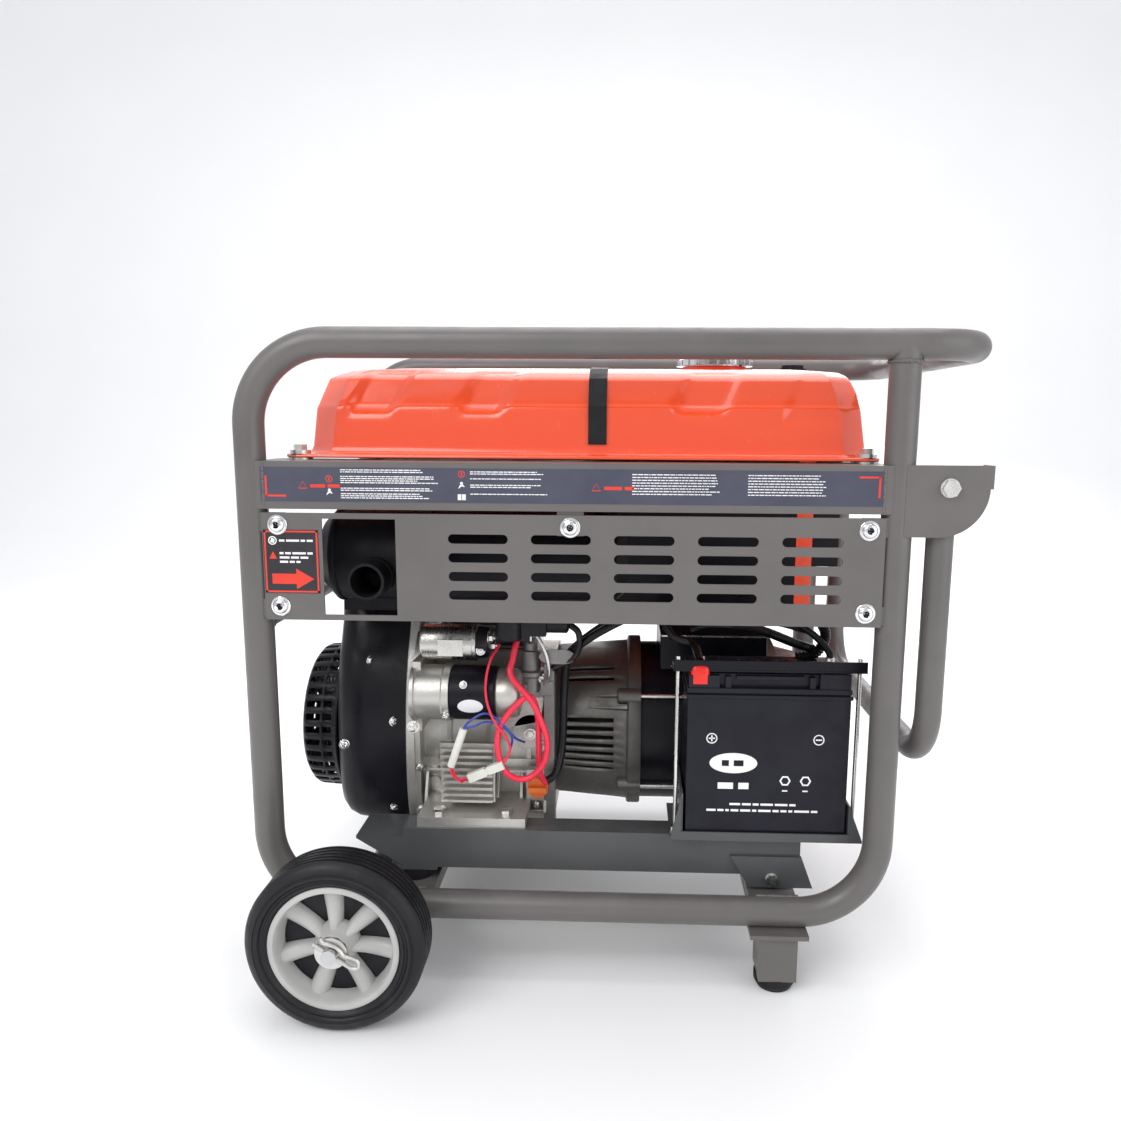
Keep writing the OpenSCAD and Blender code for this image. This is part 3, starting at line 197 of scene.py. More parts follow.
def moulded(name, base, dark, rough=0.5, grain=1400, depth=0.25, shine=0.5):
    # moulded plastic or rubber: fine spark grain, flow marks, handling shine
    p = Paint(name)
    flow = p.ramp(p.noise(16, 4), 0.35, 0.7)
    return p.finish(Base_Color=p.blend(flow, base, dark),
                    Roughness=p.ramp(p.noise(55, 3), 0.35, 0.7, rough - 0.1, rough + 0.1),
                    Specular_IOR_Level=shine,
                    Normal=p.bump(p.cells(grain), 0.0002, depth,
                                  p.bump(p.noise(grain / 4, 2), 0.0003, depth)))


paints = {
    "frame": satinPaint("framePaint", (0.126, 0.116, 0.113), (0.098, 0.090, 0.088), 0.36, dust=0.07),
    "bed": satinPaint("bedPaint", (0.074, 0.079, 0.081), (0.058, 0.062, 0.064), 0.40, dust=0.08),
    "black": satinPaint("blackPaint", (0.0060, 0.0060, 0.0095), (0.0035, 0.0035, 0.006), 0.34,
                        dust=0.02, shine=0.22),
    "sootBlack": satinPaint("heatBlack", (0.007, 0.0065, 0.009), (0.004, 0.004, 0.006), 0.5,
                            dust=0.02, shine=0.2),
    "orange": satinPaint("orangePaint", (0.86, 0.082, 0.020), (0.83, 0.076, 0.018), 0.20,
                         coat=0.55, dust=0.0),
    "zinc": bareMetal("zincPlate", (0.74, 0.73, 0.70), (0.56, 0.55, 0.53), 0.27, pits=0.15),
    "steel": bareMetal("groundSteel", (0.66, 0.66, 0.67), (0.50, 0.50, 0.50), 0.24, (30, 1, 1), 0.05),
    "satinSteel": bareMetal("satinSteel", (0.62, 0.61, 0.58), (0.50, 0.49, 0.46), 0.26,
                            pits=0.02, scale=700),
    "chrome": bareMetal("chromePlate", (0.82, 0.82, 0.83), (0.72, 0.72, 0.73), 0.10, pits=0.02),
    "cast": bareMetal("castAlloy", (0.60, 0.585, 0.55), (0.40, 0.385, 0.36), 0.42, pits=0.5,
                      metal=0.85, scale=260),
    "bellCast": bareMetal("bellAlloy", (0.155, 0.148, 0.138), (0.095, 0.09, 0.084), 0.44, pits=0.4,
                          metal=0.7, scale=240),
    "iron": bareMetal("castIron", (0.26, 0.25, 0.245), (0.16, 0.15, 0.145), 0.55, pits=0.6,
                      metal=0.75, scale=300),
    "rubber": moulded("softRubber", (0.012, 0.012, 0.014), (0.008, 0.008, 0.010), 0.58, 900, shine=0.25),
    "blackPlastic": moulded("blackPlastic", (0.010, 0.010, 0.013), (0.006, 0.006, 0.009), 0.40,
                            1500, shine=0.25),
    "batteryCase": moulded("batteryCase", (0.0095, 0.0095, 0.0165), (0.006, 0.006, 0.0115), 0.38, 1700,
                           0.18, shine=0.25),
    "hubGrey": moulded("hubPlastic", (0.46, 0.46, 0.445), (0.38, 0.38, 0.37), 0.40, 1200, 0.1),
    "orangePlastic": moulded("orangePlastic", (0.80, 0.17, 0.02), (0.68, 0.13, 0.015), 0.35),
    "redPlastic": moulded("redPlastic", (0.80, 0.02, 0.012), (0.68, 0.015, 0.01), 0.35),
    "redWire": moulded("redWire", (0.86, 0.028, 0.075), (0.74, 0.020, 0.055), 0.32, 700, 0.1),
    "blackWire": moulded("blackWire", (0.009, 0.009, 0.011), (0.006, 0.006, 0.007), 0.36, 700,
                         0.1, shine=0.3),
    "blueWire": moulded("blueWire", (0.035, 0.06, 0.36), (0.025, 0.04, 0.28), 0.36, 700, 0.1),
    "whitePlastic": moulded("whitePlastic", (0.76, 0.77, 0.70), (0.66, 0.67, 0.60), 0.38, 900, 0.1),
    "print": moulded("whitePrint", (0.86, 0.86, 0.86), (0.78, 0.78, 0.78), 0.5, 1500, 0.05),
    "printRed": moulded("redPrint", (0.74, 0.045, 0.022), (0.66, 0.035, 0.018), 0.45, 1500, 0.05),
    "stickerSlate": moulded("stickerSlate", (0.060, 0.062, 0.094), (0.050, 0.052, 0.080), 0.38, 1500, 0.04),
    "labelBlack": moulded("labelBlack", (0.020, 0.020, 0.026), (0.014, 0.014, 0.018), 0.36, 1500, 0.04),
}


def tyrePaint():
    # tyre rubber: fine bumpy grain, grey bloom and scuffs on the tread
    p = Paint("tyreRubber")
    scuff = p.ramp(p.noise(34, 5), 0.5, 0.8)
    return p.finish(Base_Color=p.blend(scuff * 0.6, (0.0085, 0.0085, 0.0105), (0.022, 0.021, 0.023)),
                    Roughness=p.ramp(p.noise(90, 4), 0.3, 0.8, 0.38, 0.54), Specular_IOR_Level=0.3,
                    Normal=p.bump(p.noise(700, 3), 0.0004, 0.3))


paints["tyre"] = tyrePaint()

nodePaints = {
    "frame": "top_loop_tube near_hoop far_hoop upper_cross_tube crossmembers axle_tube side_beams "
             "pivot_plates folding_handle panel_tabs guard_panel foot_legs",
    "bed": "engine_bed battery_tray",
    "zinc": "handle_bolts panel_bolts axle_washers hitch_pins mount_bolts tank_bolts speed_lever start_key",
    "steel": "axle crankshaft",
    "rubber": "rubber_feet rubber_mounts recoil_grip tank_strap",
    "tyre": "near_tyre far_tyre",
    "hubGrey": "near_hub far_hub",
    "cast": "crankcase charge_regulator valve_cover piston",
    "bellCast": "front_bell rear_bell",
    "iron": "engine_cylinder flywheel_fan rotor",
    "black": "blower_housing recoil_cover starter_motor battery_clamp stator",
    "sootBlack": "muffler",
    "blackPlastic": "air_cleaner fuel_gauge current_knob breaker_lever control_sockets",
    "batteryCase": "battery",
    "orange": "fuel_tank control_box",
    "chrome": "fuel_cap",
    "orangePlastic": "oil_dipstick",
    "redPlastic": "lift_lever",
    "redWire": "red_cable",
    "blackWire": "black_cable",
}
for key, names in nodePaints.items():
    for name in names.split():
        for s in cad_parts[name].material_slots:
            s.link = "OBJECT"
            s.material = paints[key]
print("paints laid on the frame's nodes")


# mesh building, in millimetres; dot is the radius that closes a turned end
mm, dot = 0.001, 0.01


class Shape:
    def __init__(self):
        self.points, self.faces = [], []

    def add(self, points, faces):
        base = len(self.points)
        self.points += [tuple(p) for p in points]
        self.faces += [tuple(base + i for i in f) for f in faces]
        return self

    def rows(self, rows, capStart=True, capEnd=True, openCells=()):
        # skins closed loops of equal length; openCells holds (row, column) pairs left out
        n = len(rows[0])
        faces = [(i * n + j, i * n + (j + 1) % n, (i + 1) * n + (j + 1) % n, (i + 1) * n + j)
                 for i in range(len(rows) - 1) for j in range(n) if (i, j) not in openCells]
        if capStart:
            faces.append(tuple(range(n))[::-1])
        if capEnd:
            faces.append(tuple((len(rows) - 1) * n + j for j in range(n)))
        return self.add([p for r in rows for p in r], faces)

    def box(self, low, high):
        (a, b, c), (d, e, f) = low, high
        return self.rows([[(a, b, z), (d, b, z), (d, e, z), (a, e, z)] for z in (c, f)])

    def prism(self, outline, low, high, axis=1):
        # outline is in the two axes that axis leaves, in x, y, z order
        def put(u, v, w):
            p = [u, v]
            p.insert(axis, w)
            return tuple(p)
        return self.rows([[put(u, v, w) for u, v in outline] for w in (low, high)])

    def lathe(self, profile, centre, axis=0, steps=48, closed=False, openCells=()):
        # profile is (along, radius) pairs, turned round an axis through centre
        others = [i for i in range(3) if i != axis]
        rows = []
        for along, radius in profile:
            ring = []
            for k in range(steps):
                a = 2 * math.pi * k / steps
                p = list(centre)
                p[axis] += along
                p[others[0]] += radius * math.cos(a)
                p[others[1]] += radius * math.sin(a)
                ring.append(tuple(p))
            rows.append(ring)
        if closed:
            rows.append(rows[0])
        solid = not closed and not openCells
        return self.rows(rows, solid, solid, openCells)

    def tube(self, path, radius, steps=10):
        # a round bar along a path of points, through smooth bends
        pts = smoothPath(path)
        side = Vector((0, 0, 1)) if abs((pts[1] - pts[0]).normalized().z) < 0.9 else Vector((1, 0, 0))
        rows = []
        for i, p in enumerate(pts):
            ahead = (pts[min(i + 1, len(pts) - 1)] - pts[max(i - 1, 0)]).normalized()
            side = (side - ahead * side.dot(ahead)).normalized()
            other = ahead.cross(side)
            rows.append([tuple(p + (side * math.cos(a) + other * math.sin(a)) * radius)
                         for a in allRound(steps)])
        return self.rows(rows)


def allRound(n):
    # n angles evenly round a circle
    return np.linspace(0, 2 * math.pi, n, endpoint=False)


def smoothPath(path, per=6):
    # Catmull-Rom points through the path, so bends come out round
    p = [Vector(q) for q in path]
    if len(p) < 3:
        return p
    p = [p[0] * 2 - p[1]] + p + [p[-1] * 2 - p[-2]]
    out = []
    for i in range(1, len(p) - 2):
        for t in np.linspace(0, 1, per, endpoint=False):
            a, b, c, d = p[i - 1:i + 3]
            out.append(0.5 * ((2 * b) + (c - a) * t + (2 * a - 5 * b + 4 * c - d) * t * t +
                              (3 * b - a - 3 * c + d) * t ** 3))
    return out + [p[-2]]


def toMesh(name, shape, paint, crease=35):
    mesh = bpy.data.meshes.new(name)
    mesh.from_pydata([tuple(c * mm for c in p) for p in shape.points], [], shape.faces)
    mesh.materials.append(paints[paint])
    bm = bmesh.new()
    bm.from_mesh(mesh)
    bmesh.ops.remove_doubles(bm, verts=bm.verts, dist=1e-7)
    bmesh.ops.recalc_face_normals(bm, faces=bm.faces)
    bm.to_mesh(mesh)
    bm.free()
    mesh.shade_smooth()
    mesh.set_sharp_from_angle(angle=math.radians(crease))
    return mesh


def newPiece(name, shape, paint, body="frame", slot=None, replaces=(), bevel=0.0, crease=35, sheet=0.0):
    # one finished piece: in place in its mesh, riding its body
    mesh = shape if isinstance(shape, bpy.types.Mesh) else toMesh(name, shape, paint, crease)
    o = bpy.data.objects.new(name, mesh)
    bpy.context.scene.collection.objects.link(o)
    if sheet:
        m = o.modifiers.new("wall", "SOLIDIFY")
        m.thickness, m.offset = sheet * mm, -1.0
    if bevel:
        m = o.modifiers.new("edge", "BEVEL")
        m.width, m.segments, m.limit_method, m.angle_limit = bevel * mm, 2, "ANGLE", math.radians(34)
        m.harden_normals = True
    if sheet or bevel:
        done = bpy.data.meshes.new_from_object(o.evaluated_get(bpy.context.evaluated_depsgraph_get()))
        done.name = name
        o.modifiers.clear()
        o.data = done
    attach(o, body)
    if replaces:
        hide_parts(*replaces)
    return o


slotPaints = {
    "frame_paint": "frame",
    "black_metal": "black sootBlack",
    "orange_paint": "orange",
    "zinc": "zinc",
    "machined_steel": "steel satinSteel",
    "cast_alloy": "cast bellCast",
    "cast_iron": "iron",
    "black_plastic": "blackPlastic batteryCase blackWire blueWire whitePlastic print printRed "
                     "stickerSlate labelBlack",
    "orange_plastic": "orangePlastic",
    "red_plastic": "redPlastic redWire",
}
slotOf = {paint: slot for slot, names in slotPaints.items() for paint in names.split()}


def framePiece(name, shape, paint, replaces=(), slot=None, **look):
    # a piece that rides the frame, finished in its paint
    return newPiece(name, shape, paint, "frame", slot or slotOf[paint], replaces, **look)


# Geometry Nodes: parts set out on points, and beads along seams
def newTree(name, inputs):
    tree = bpy.data.node_groups.new(name, "GeometryNodeTree")
    face = tree.interface
    face.new_socket("Geometry", in_out="INPUT", socket_type="NodeSocketGeometry")
    for label, kind, value in inputs:
        s = face.new_socket(label, in_out="INPUT", socket_type="NodeSocket" + kind)
        if value is not None:
            s.default_value = value
    face.new_socket("Geometry", in_out="OUTPUT", socket_type="NodeSocketGeometry")
    return tree, tree.nodes.new("NodeGroupInput").outputs, tree.nodes.new("NodeGroupOutput").inputs


def addNode(tree, kind, inputs=None, **settings):
    n = tree.nodes.new(kind)
    for key, v in settings.items():
        setattr(n, key, v)
    for key, v in (inputs or {}).items():
        if isinstance(v, bpy.types.NodeSocket):
            tree.links.new(v, n.inputs[key])
        else:
            n.inputs[key].default_value = v
    return n.outputs


def makeSetOutTree():
    # a part at every point, turned and sized by the point's own attributes
    tree, given, out = newTree("setOut",
                               [("Part", "Object", None), ("Finish", "Material", None),
                                ("Size", "Float", 1.0)])
    turn = addNode(tree, "GeometryNodeInputNamedAttribute", {"Name": "turn"}, data_type="FLOAT_VECTOR")
    size = addNode(tree, "GeometryNodeInputNamedAttribute", {"Name": "size"}, data_type="FLOAT_VECTOR")
    sized = addNode(tree, "ShaderNodeVectorMath", {0: size["Attribute"], "Scale": given["Size"]},
                    operation="SCALE")
    part = addNode(tree, "GeometryNodeObjectInfo", {"Object": given["Part"]}, transform_space="ORIGINAL")
    laid = addNode(tree, "GeometryNodeInstanceOnPoints",
                   {"Points": given["Geometry"], "Instance": part["Geometry"],
                    "Rotation": turn["Attribute"], "Scale": sized["Vector"]})
    real = addNode(tree, "GeometryNodeRealizeInstances", {"Geometry": laid["Instances"]})
    done = addNode(tree, "GeometryNodeSetMaterial",
                   {"Geometry": real["Geometry"], "Material": given["Finish"]})
    tree.links.new(done["Geometry"], out["Geometry"])
    return tree


def makeBeadTree():
    # a run of overlapping weld ripples along every edge of a path mesh
    tree, given, out = newTree("weldBead", [("Finish", "Material", None), ("Pitch", "Float", 0.002),
                                            ("Width", "Float", 0.003), ("Seed", "Int", 7)])
    line = addNode(tree, "GeometryNodeMeshToCurve", {"Mesh": given["Geometry"]})
    spots = addNode(tree, "GeometryNodeCurveToPoints", {"Curve": line["Curve"], "Length": given["Pitch"]},
                    mode="LENGTH")
    ball = addNode(tree, "GeometryNodeMeshIcoSphere", {"Radius": given["Width"], "Subdivisions": 1})
    size = addNode(tree, "FunctionNodeRandomValue", {2: 0.75, 3: 1.15, "Seed": given["Seed"]},
                   data_type="FLOAT")
    laid = addNode(tree, "GeometryNodeInstanceOnPoints",
                   {"Points": spots["Points"], "Instance": ball["Mesh"],
                    "Rotation": spots["Rotation"], "Scale": size[1]})
    real = addNode(tree, "GeometryNodeRealizeInstances", {"Geometry": laid["Instances"]})
    soft = addNode(tree, "GeometryNodeSetShadeSmooth", {"Geometry": real["Geometry"]})
    done = addNode(tree, "GeometryNodeSetMaterial",
                   {"Geometry": soft["Geometry"], "Material": given["Finish"]})
    tree.links.new(done["Geometry"], out["Geometry"])
    return tree


setOutTree, beadTree = makeSetOutTree(), makeBeadTree()


def runTree(name, mesh, tree, values):
    # evaluates a tree on a mesh and gives back the plain mesh it makes
    o = bpy.data.objects.new(name, mesh)
    bpy.context.scene.collection.objects.link(o)
    m = o.modifiers.new("nodes", "NODES")
    m.node_group = tree
    for item in tree.interface.items_tree:
        if item.in_out == "INPUT" and item.name in values:
            m[item.identifier] = values[item.name]
    done = bpy.data.meshes.new_from_object(o.evaluated_get(bpy.context.evaluated_depsgraph_get()))
    done.name = name
    bpy.data.objects.remove(o)
    return done


def setOut(name, part, spots, paint, bevel=0.0):
    # spots are (place in mm, turn in degrees, size); part is a Shape round the origin, +Z outwards
    source = bpy.data.objects.new("part", toMesh("part", part, paint))
    bpy.context.scene.collection.objects.link(source)
    if bevel:
        m = source.modifiers.new("edge", "BEVEL")
        m.width, m.segments, m.limit_method = bevel * mm, 1, "ANGLE"
    mesh = bpy.data.meshes.new(name)
    mesh.from_pydata([tuple(c * mm for c in s[0]) for s in spots], [], [])
    for label, values in (("turn", [tuple(math.radians(a) for a in s[1]) for s in spots]),
                          ("size", [s[2] if isinstance(s[2], tuple) else (s[2],) * 3 for s in spots])):
        spread = mesh.attributes.new(label, "FLOAT_VECTOR", "POINT").data
        spread.foreach_set("vector", [c for v in values for c in v])
    done = runTree(name, mesh, setOutTree, {"Part": source, "Finish": paints[paint], "Size": 1.0})
    bpy.data.objects.remove(source)
    return done


def newFixings(name, part, spots, paint="zinc", bevel=0.3, replaces=()):
    # screws, nuts or bolts on the frame, set out and finished as one piece
    mesh = setOut(name, part, spots, paint, bevel)
    return newPiece(name, mesh, None, "frame", "zinc", replaces)


# turns in degrees that point +Z out of a face
front, back, rightward, upward = (90, 0, 0), (-90, 0, 0), (0, 90, 0), (0, 0, 0)


def ringPath(centre, radius, axis):
    others = [i for i in range(3) if i != axis]
    out = []
    for a in np.radians(np.linspace(0, 360, 28)):
        p = list(centre)
        p[others[0]] += radius * math.cos(a)
        p[others[1]] += radius * math.sin(a)
        out.append(tuple(p))
    return out


def weldSeams(name, paths, paint, body, slot, width=2.2, pitch=2.0):
    points, lines = [], []
    for path in paths:
        lines += [(len(points) + i, len(points) + i + 1) for i in range(len(path) - 1)]
        points += [tuple(c * mm for c in p) for p in path]
    mesh = bpy.data.meshes.new(name)
    mesh.from_pydata(points, lines, [])
    done = runTree(name, mesh, beadTree,
                   {"Finish": paints[paint], "Pitch": pitch * mm, "Width": width * mm, "Seed": 11})
    return newPiece(name, done, None, body, slot)


# wheels
wheel = {"spokes": 7, "firstSpoke": 94, "tipWide": 10.8, "rootWide": 6.0, "ribs": 4, "boss": 17}


def makeWheel(side, w):
    tyreLow, tyreHigh = edges(side + "_tyre")
    hubLow, hubHigh = edges(side + "_hub")
    mid = (tyreLow + tyreHigh) / 2
    r, half = (tyreHigh.z - tyreLow.z) / 2, (tyreHigh.y - tyreLow.y) / 2
    rim = (hubHigh.z - hubLow.z) / 2
    tread = []
    for k in range(w["ribs"] + 1):
        y = (half - 12) * (2 * k / w["ribs"] - 1)
        tread += [(y - 1.6, r - 0.3), (y - 1.1, r - 2.6), (y + 1.1, r - 2.6), (y + 1.6, r - 0.3)]
    wall = [(half - 5, rim - 1.5), (half - 3, rim + 1.0), (half - 0.6, rim + 3.2), (half - 0.2, rim + 4.6),
            (half - 1.6, rim + 5.6), (half - 2.2, rim + 7.6), (half - 0.5, rim + 9.2), (half, rim + 12),
            (half - 0.3, r - 13.6), (half - 1.4, r - 12.8), (half - 1.5, r - 11.4), (half - 0.8, r - 10.6),
            (half - 2.2, r - 6.2), (half - 5.5, r - 2.0), (half - 8.5, r - 0.3)]
    profile = [(-a, b) for a, b in wall] + tread + wall[::-1]
    ring = Shape().lathe(profile, mid, axis=1, steps=120, closed=True)
    newPiece(side + "Tyre", ring, "tyre", side + "_wheel", "tyre", [side + "_tyre"], crease=28)
    hub = Shape()
    dish = [(half - 7, rim), (half - 3.0, rim - 0.6), (half - 2.0, rim - 2.2), (half - 2.4, rim - 6.2),
            (half - 4.0, rim - 7.4), (half - 8, rim - 8.6), (half - 16, rim - 10.2), (4, rim - 11.4)]
    hub.lathe([(-a, b) for a, b in dish] + dish[::-1], mid, axis=1, steps=96, closed=True)
    outer = [(half, 9.2), (half, 15.2), (half - 1.2, w["boss"]), (half - 9, w["boss"] + 1.5),
             (half - 16, w["boss"] + 6)]
    boss = [(-a, b) for a, b in outer] + outer[::-1]
    hub.lathe(boss, mid, axis=1, steps=64, closed=True)
    reach = rim - 8.5
    for k in range(w["spokes"]):
        a = math.radians(w["firstSpoke"] + k * 360 / w["spokes"])
        rows = []
        for t in np.linspace(0, 1, 9):
            along = 13 + (reach - 13) * t
            wide = w["rootWide"] + (w["tipWide"] - w["rootWide"]) * math.sin(t * 1.45) ** 0.9
            deep = half - 5 - 6 * math.sin(t * math.pi) ** 0.8 - 6 * t
            ringPts = []
            for b in allRound(20):
                u, v = wide * math.cos(b), deep * math.sin(b)
                ringPts.append((mid.x + along * math.cos(a) - u * math.sin(a), mid.y + v,
                                mid.z + along * math.sin(a) + u * math.cos(a)))
            rows.append(ringPts)
        hub.rows(rows)
    # painted shade: a black disc behind the spokes stands in for the shadow seen through the gaps
    shadeDisc = Shape().lathe([(-1.2, 21), (-1.2, rim - 9.4), (1.2, rim - 9.4), (1.2, 21)], mid, axis=1,
                        steps=64, closed=True)
    newPiece(side + "HubWeb", shadeDisc, "blackPlastic", side + "_wheel", "hub")
    newPiece(side + "Hub", hub, "hubGrey", side + "_wheel", "hub", [side + "_hub"], crease=40)


for side in ("near", "far"):
    makeWheel(side, wheel)
print("wheels made")

# fuel tank
tank = {"flangeEnds": (18, 8), "flangeSide": 14.5, "flangeThick": 4, "high": 98,
        "sideIn": [(0, 0), (0.5, 1.5), (0.535, 2.5), (0.56, 4.5), (0.84, 20), (0.9, 29), (0.955, 46),
                   (0.99, 74), (1, 90)],
        "leftIn": [(0, 0), (0.5, 6), (0.86, 16), (0.955, 34), (0.99, 64), (1, 80)],
        "rightIn": [(0, 0), (0.7, 10), (0.9, 17), (0.955, 24), (0.99, 48), (1, 60)],
        "pockets": [(-282, -233, 7), (-161, -114, 7), (74, 130, 6), (196, 262, -2.4)],
        "cutLeft": 34, "cutRight": 30}


def outline(x0, x1, half, cutLeft, cutRight):
    # corners of a chamfered plan, each with its number of points up to the next one
    corners = [(x0 + cutLeft, -half, 150), (x1 - cutRight, -half, 9), (x1, -half + cutRight, 40),
               (x1, half - cutRight, 9), (x1 - cutRight, half, 150), (x0 + cutLeft, half, 9),
               (x0, half - cutLeft, 40), (x0, -half + cutLeft, 9)]
    pts = []
    for k, (x, y, n) in enumerate(corners):
        nx, ny, _ = corners[(k + 1) % 8]
        pts += [(x + (nx - x) * t, y + (ny - y) * t)
                for t in 0.5 - 0.5 * np.cos(np.linspace(0, math.pi, n, endpoint=False))]
    pts = np.array(pts)
    for _ in range(3):
        pts = pts * 0.5 + (np.roll(pts, 1, 0) + np.roll(pts, -1, 0)) * 0.25
    return pts


def soft(v, low, high, edge):
    # 1 between low and high, easing to 0 over edge on both sides
    def ease(t):
        t = min(max(t, 0), 1)
        return t * t * (3 - 2 * t)
    return ease((v - low) / edge) * ease((high - v) / edge)


def makeTank(t):
    low, high = edges("fuel_tank")
    x0, x1 = low.x + t["flangeEnds"][0], high.x - t["flangeEnds"][1]
    half, base = high.y - t["flangeSide"], low.z + t["flangeThick"]

    def at(table, v):
        return float(np.interp(v, [a for a, _ in table], [b for _, b in table]))

    loops = []
    for z, grow in ((low.z, 0), (low.z, 1.0), (low.z + 0.8, 0), (base - 1.2, 0), (base, 1.4)):
        ring = outline(low.x + grow, high.x - grow, high.y - grow, 16, 16)
        loops.append([(x, y, z) for x, y in ring])
    for z, out in ((0.3, 5), (1.2, 2.2), (4, 0.6)):
        ring = outline(x0 - out, x1 + out, half + out, t["cutLeft"], t["cutRight"])
        loops.append([(x, y, base + z) for x, y in ring])
    levels = [*np.linspace(0.08, 0.5, 9), *np.linspace(0.515, 0.575, 5), *np.linspace(0.61, 0.955, 16),
              0.972, 0.985, 0.995, 1.0]
    for v in levels:
        ring = outline(x0 + at(t["leftIn"], v), x1 - at(t["rightIn"], v), half - at(t["sideIn"], v),
                       t["cutLeft"], t["cutRight"])
        loop = []
        for x, y in ring:
            onSide = min(max((abs(y) - 60) / 40, 0), 1)
            sink = 0
            for a, b, deep in t["pockets"]:
                slant = (v - 0.7) * 46
                rise = soft(v, 0.4 if deep > 0 else 0.3, 1.02, 0.16)
                sink += deep * soft(x - slant, a - 6, b + 6, 13) * rise
            loop.append((x, y - math.copysign(sink * onSide, y),
                         base + v * t["high"] - sink * onSide * 0.25 * (v > 0.9)))
        loops.append(loop)
    middle = Vector(((x0 + x1) / 2, 0, 0))
    last = loops[-1]
    for shrink, rise in ((0.8, 0.5), (0.5, 0.9), (0.2, 1.1)):
        loops.append([(middle.x + (x - middle.x) * shrink, y * shrink, base + t["high"] + rise)
                      for x, y, z in last])
    framePiece("fuelTank", Shape().rows(loops), "orange", ["fuel_tank"], crease=50)
    capLow, capHigh = edges("fuel_cap")
    c = (capLow + capHigh) / 2
    neck = Shape().lathe([(-3, 40), (2.2, 39), (3.4, 41), (6.5, 41), (7.4, 39.5), (7.4, 36), (-3, 36)],
                         (c.x, c.y, base + t["high"]), 2, 64, closed=True)
    framePiece("fillerNeck", neck, "orange")


makeTank(tank)
print("tank made")


# recoil starter cover: slotted drum
recoil = {"cells": 36, "wall": 2.4}


def makeRecoilCover(r):
    low, high = edges("recoil_cover")
    c = Vector((low.x, (low.y + high.y) / 2, (low.z + high.z) / 2))
    radius = (high.z - low.z) / 2 - 10
    deep = high.x - low.x
    profile = [(5, 26), (3, 30), (2, 40), (1.2, 48), (0, 56), (0, radius - 22), (1.5, radius - 14),
               (3.4, radius - 8), (7.5, radius - 3.2), (12, radius - 1.2), (deep * 0.52, radius),
               (deep * 0.58, radius), (deep - 11, radius), (deep - 6, radius + 1),
               (deep - 4.2, radius + 9), (deep - 3, radius + 10), (deep, radius + 10)]
    steps = r["cells"] * 4
    holes = set()
    for j in range(steps):
        if j % 4 in (1, 2):
            holes |= {(5, j), (8, j), (9, j), (11, j)}
        if j % 8 in (2, 3, 4):
            holes.add((2, j))
    shell = Shape().lathe(profile, c, 0, steps, openCells=holes)
    framePiece("recoilCover", shell, "black", ["recoil_cover"], sheet=r["wall"], crease=40)
    hubCap = Shape().lathe([(6.5, dot), (6.5, 22), (2.6, 25.5), (1.6, 27.6), (3.4, 29), (10, 29),
                            (10, dot)], c, 0, 48)
    framePiece("recoilHubCap", hubCap, "black")
    screen = Shape().lathe([(deep - 8, radius - 6), (deep - 6.4, radius - 6), (deep - 6.4, dot),
                            (deep - 8, dot)], c, 0, 48)
    framePiece("recoilBackPlate", screen, "sootBlack")


makeRecoilCover(recoil)


# screws and nuts
screw = {"head": 8.2, "washer": 10.6, "tall": 4.2}


def screwShape(head, washer, tall):
    s = Shape()
    s.lathe([(0, dot), (0, washer), (1.0, washer), (1.4, washer - 0.5), (1.4, head + 0.4)] +
            [(1.4 + tall * math.sin(a), head * math.cos(a) ** 0.75) for a in np.linspace(0.05, 1.05, 7)] +
            [(1.4 + tall * 0.9, 3.6), (1.4 + tall * 0.35, 1.2), (1.4 + tall * 0.35, dot)], (0, 0, 0), 2, 20)
    return s


def crossShape(tall):
    top = 1.4 + tall * 0.93
    blades = Shape().box((-3.4, -0.55, top - 1.4), (3.4, 0.55, top))
    return blades.box((-0.55, -3.4, top - 1.4), (0.55, 3.4, top + 0.02))


def hexShape(across=13, tall=6.5, thread=3.6):
    washer = 9.5
    s = Shape().lathe([(0, dot), (0, washer), (1.6, washer), (1.6, dot)], (0, 0, 0), 2, 24)
    r = across / 2 / math.cos(math.pi / 6)
    s.lathe([(1.6, dot), (1.6, r - 0.5), (2.2, r), (tall + 1.0, r), (tall + 1.6, r - 1.0),
             (tall + 1.6, dot)], (0, 0, 0), 2, 6)
    if thread:
        s.lathe([(tall, dot), (tall, thread), (tall + 4.0, thread), (tall + 4.6, thread - 0.7),
                 (tall + 4.6, dot)], (0, 0, 0), 2, 14)
    return s


def makePanelScrews():
    low, high = edges("panel_bolts")
    face = edges("guard_panel")[0].y
    mid = (low.x + high.x) / 2
    spots = []
    for x in (low.x + 9, high.x - 9):
        for z in (low.z + 9, high.z - 9):
            spots.append(((x, face, z), front, 1.0))
    spots.append(((mid, face, high.z - 9), front, 1.0))
    newFixings("panelScrews", screwShape(**screw), spots, "chrome", 0.0, replaces=["panel_bolts"])
    turned = [(p, (t[0], 17 + 23 * i, t[2]), s) for i, (p, t, s) in enumerate(spots)]
    newFixings("screwRecesses", crossShape(screw["tall"]), turned, "sootBlack", 0.0)


makePanelScrews()
print("screws set")


# printed plates: dashes stand for writing
ink, plateThick = 0.12, 0.3


def dashes(x0, x1, z, tall, rng):
    # one row of word-long bars between x0 and x1
    out, x = [], x0
    while x < x1 - tall:
        long = min(rng.uniform(1.5, 6.5) * tall, x1 - x)
        out.append(((x + long / 2, z), (long, tall)))
        x += long + tall * 0.8
    return out


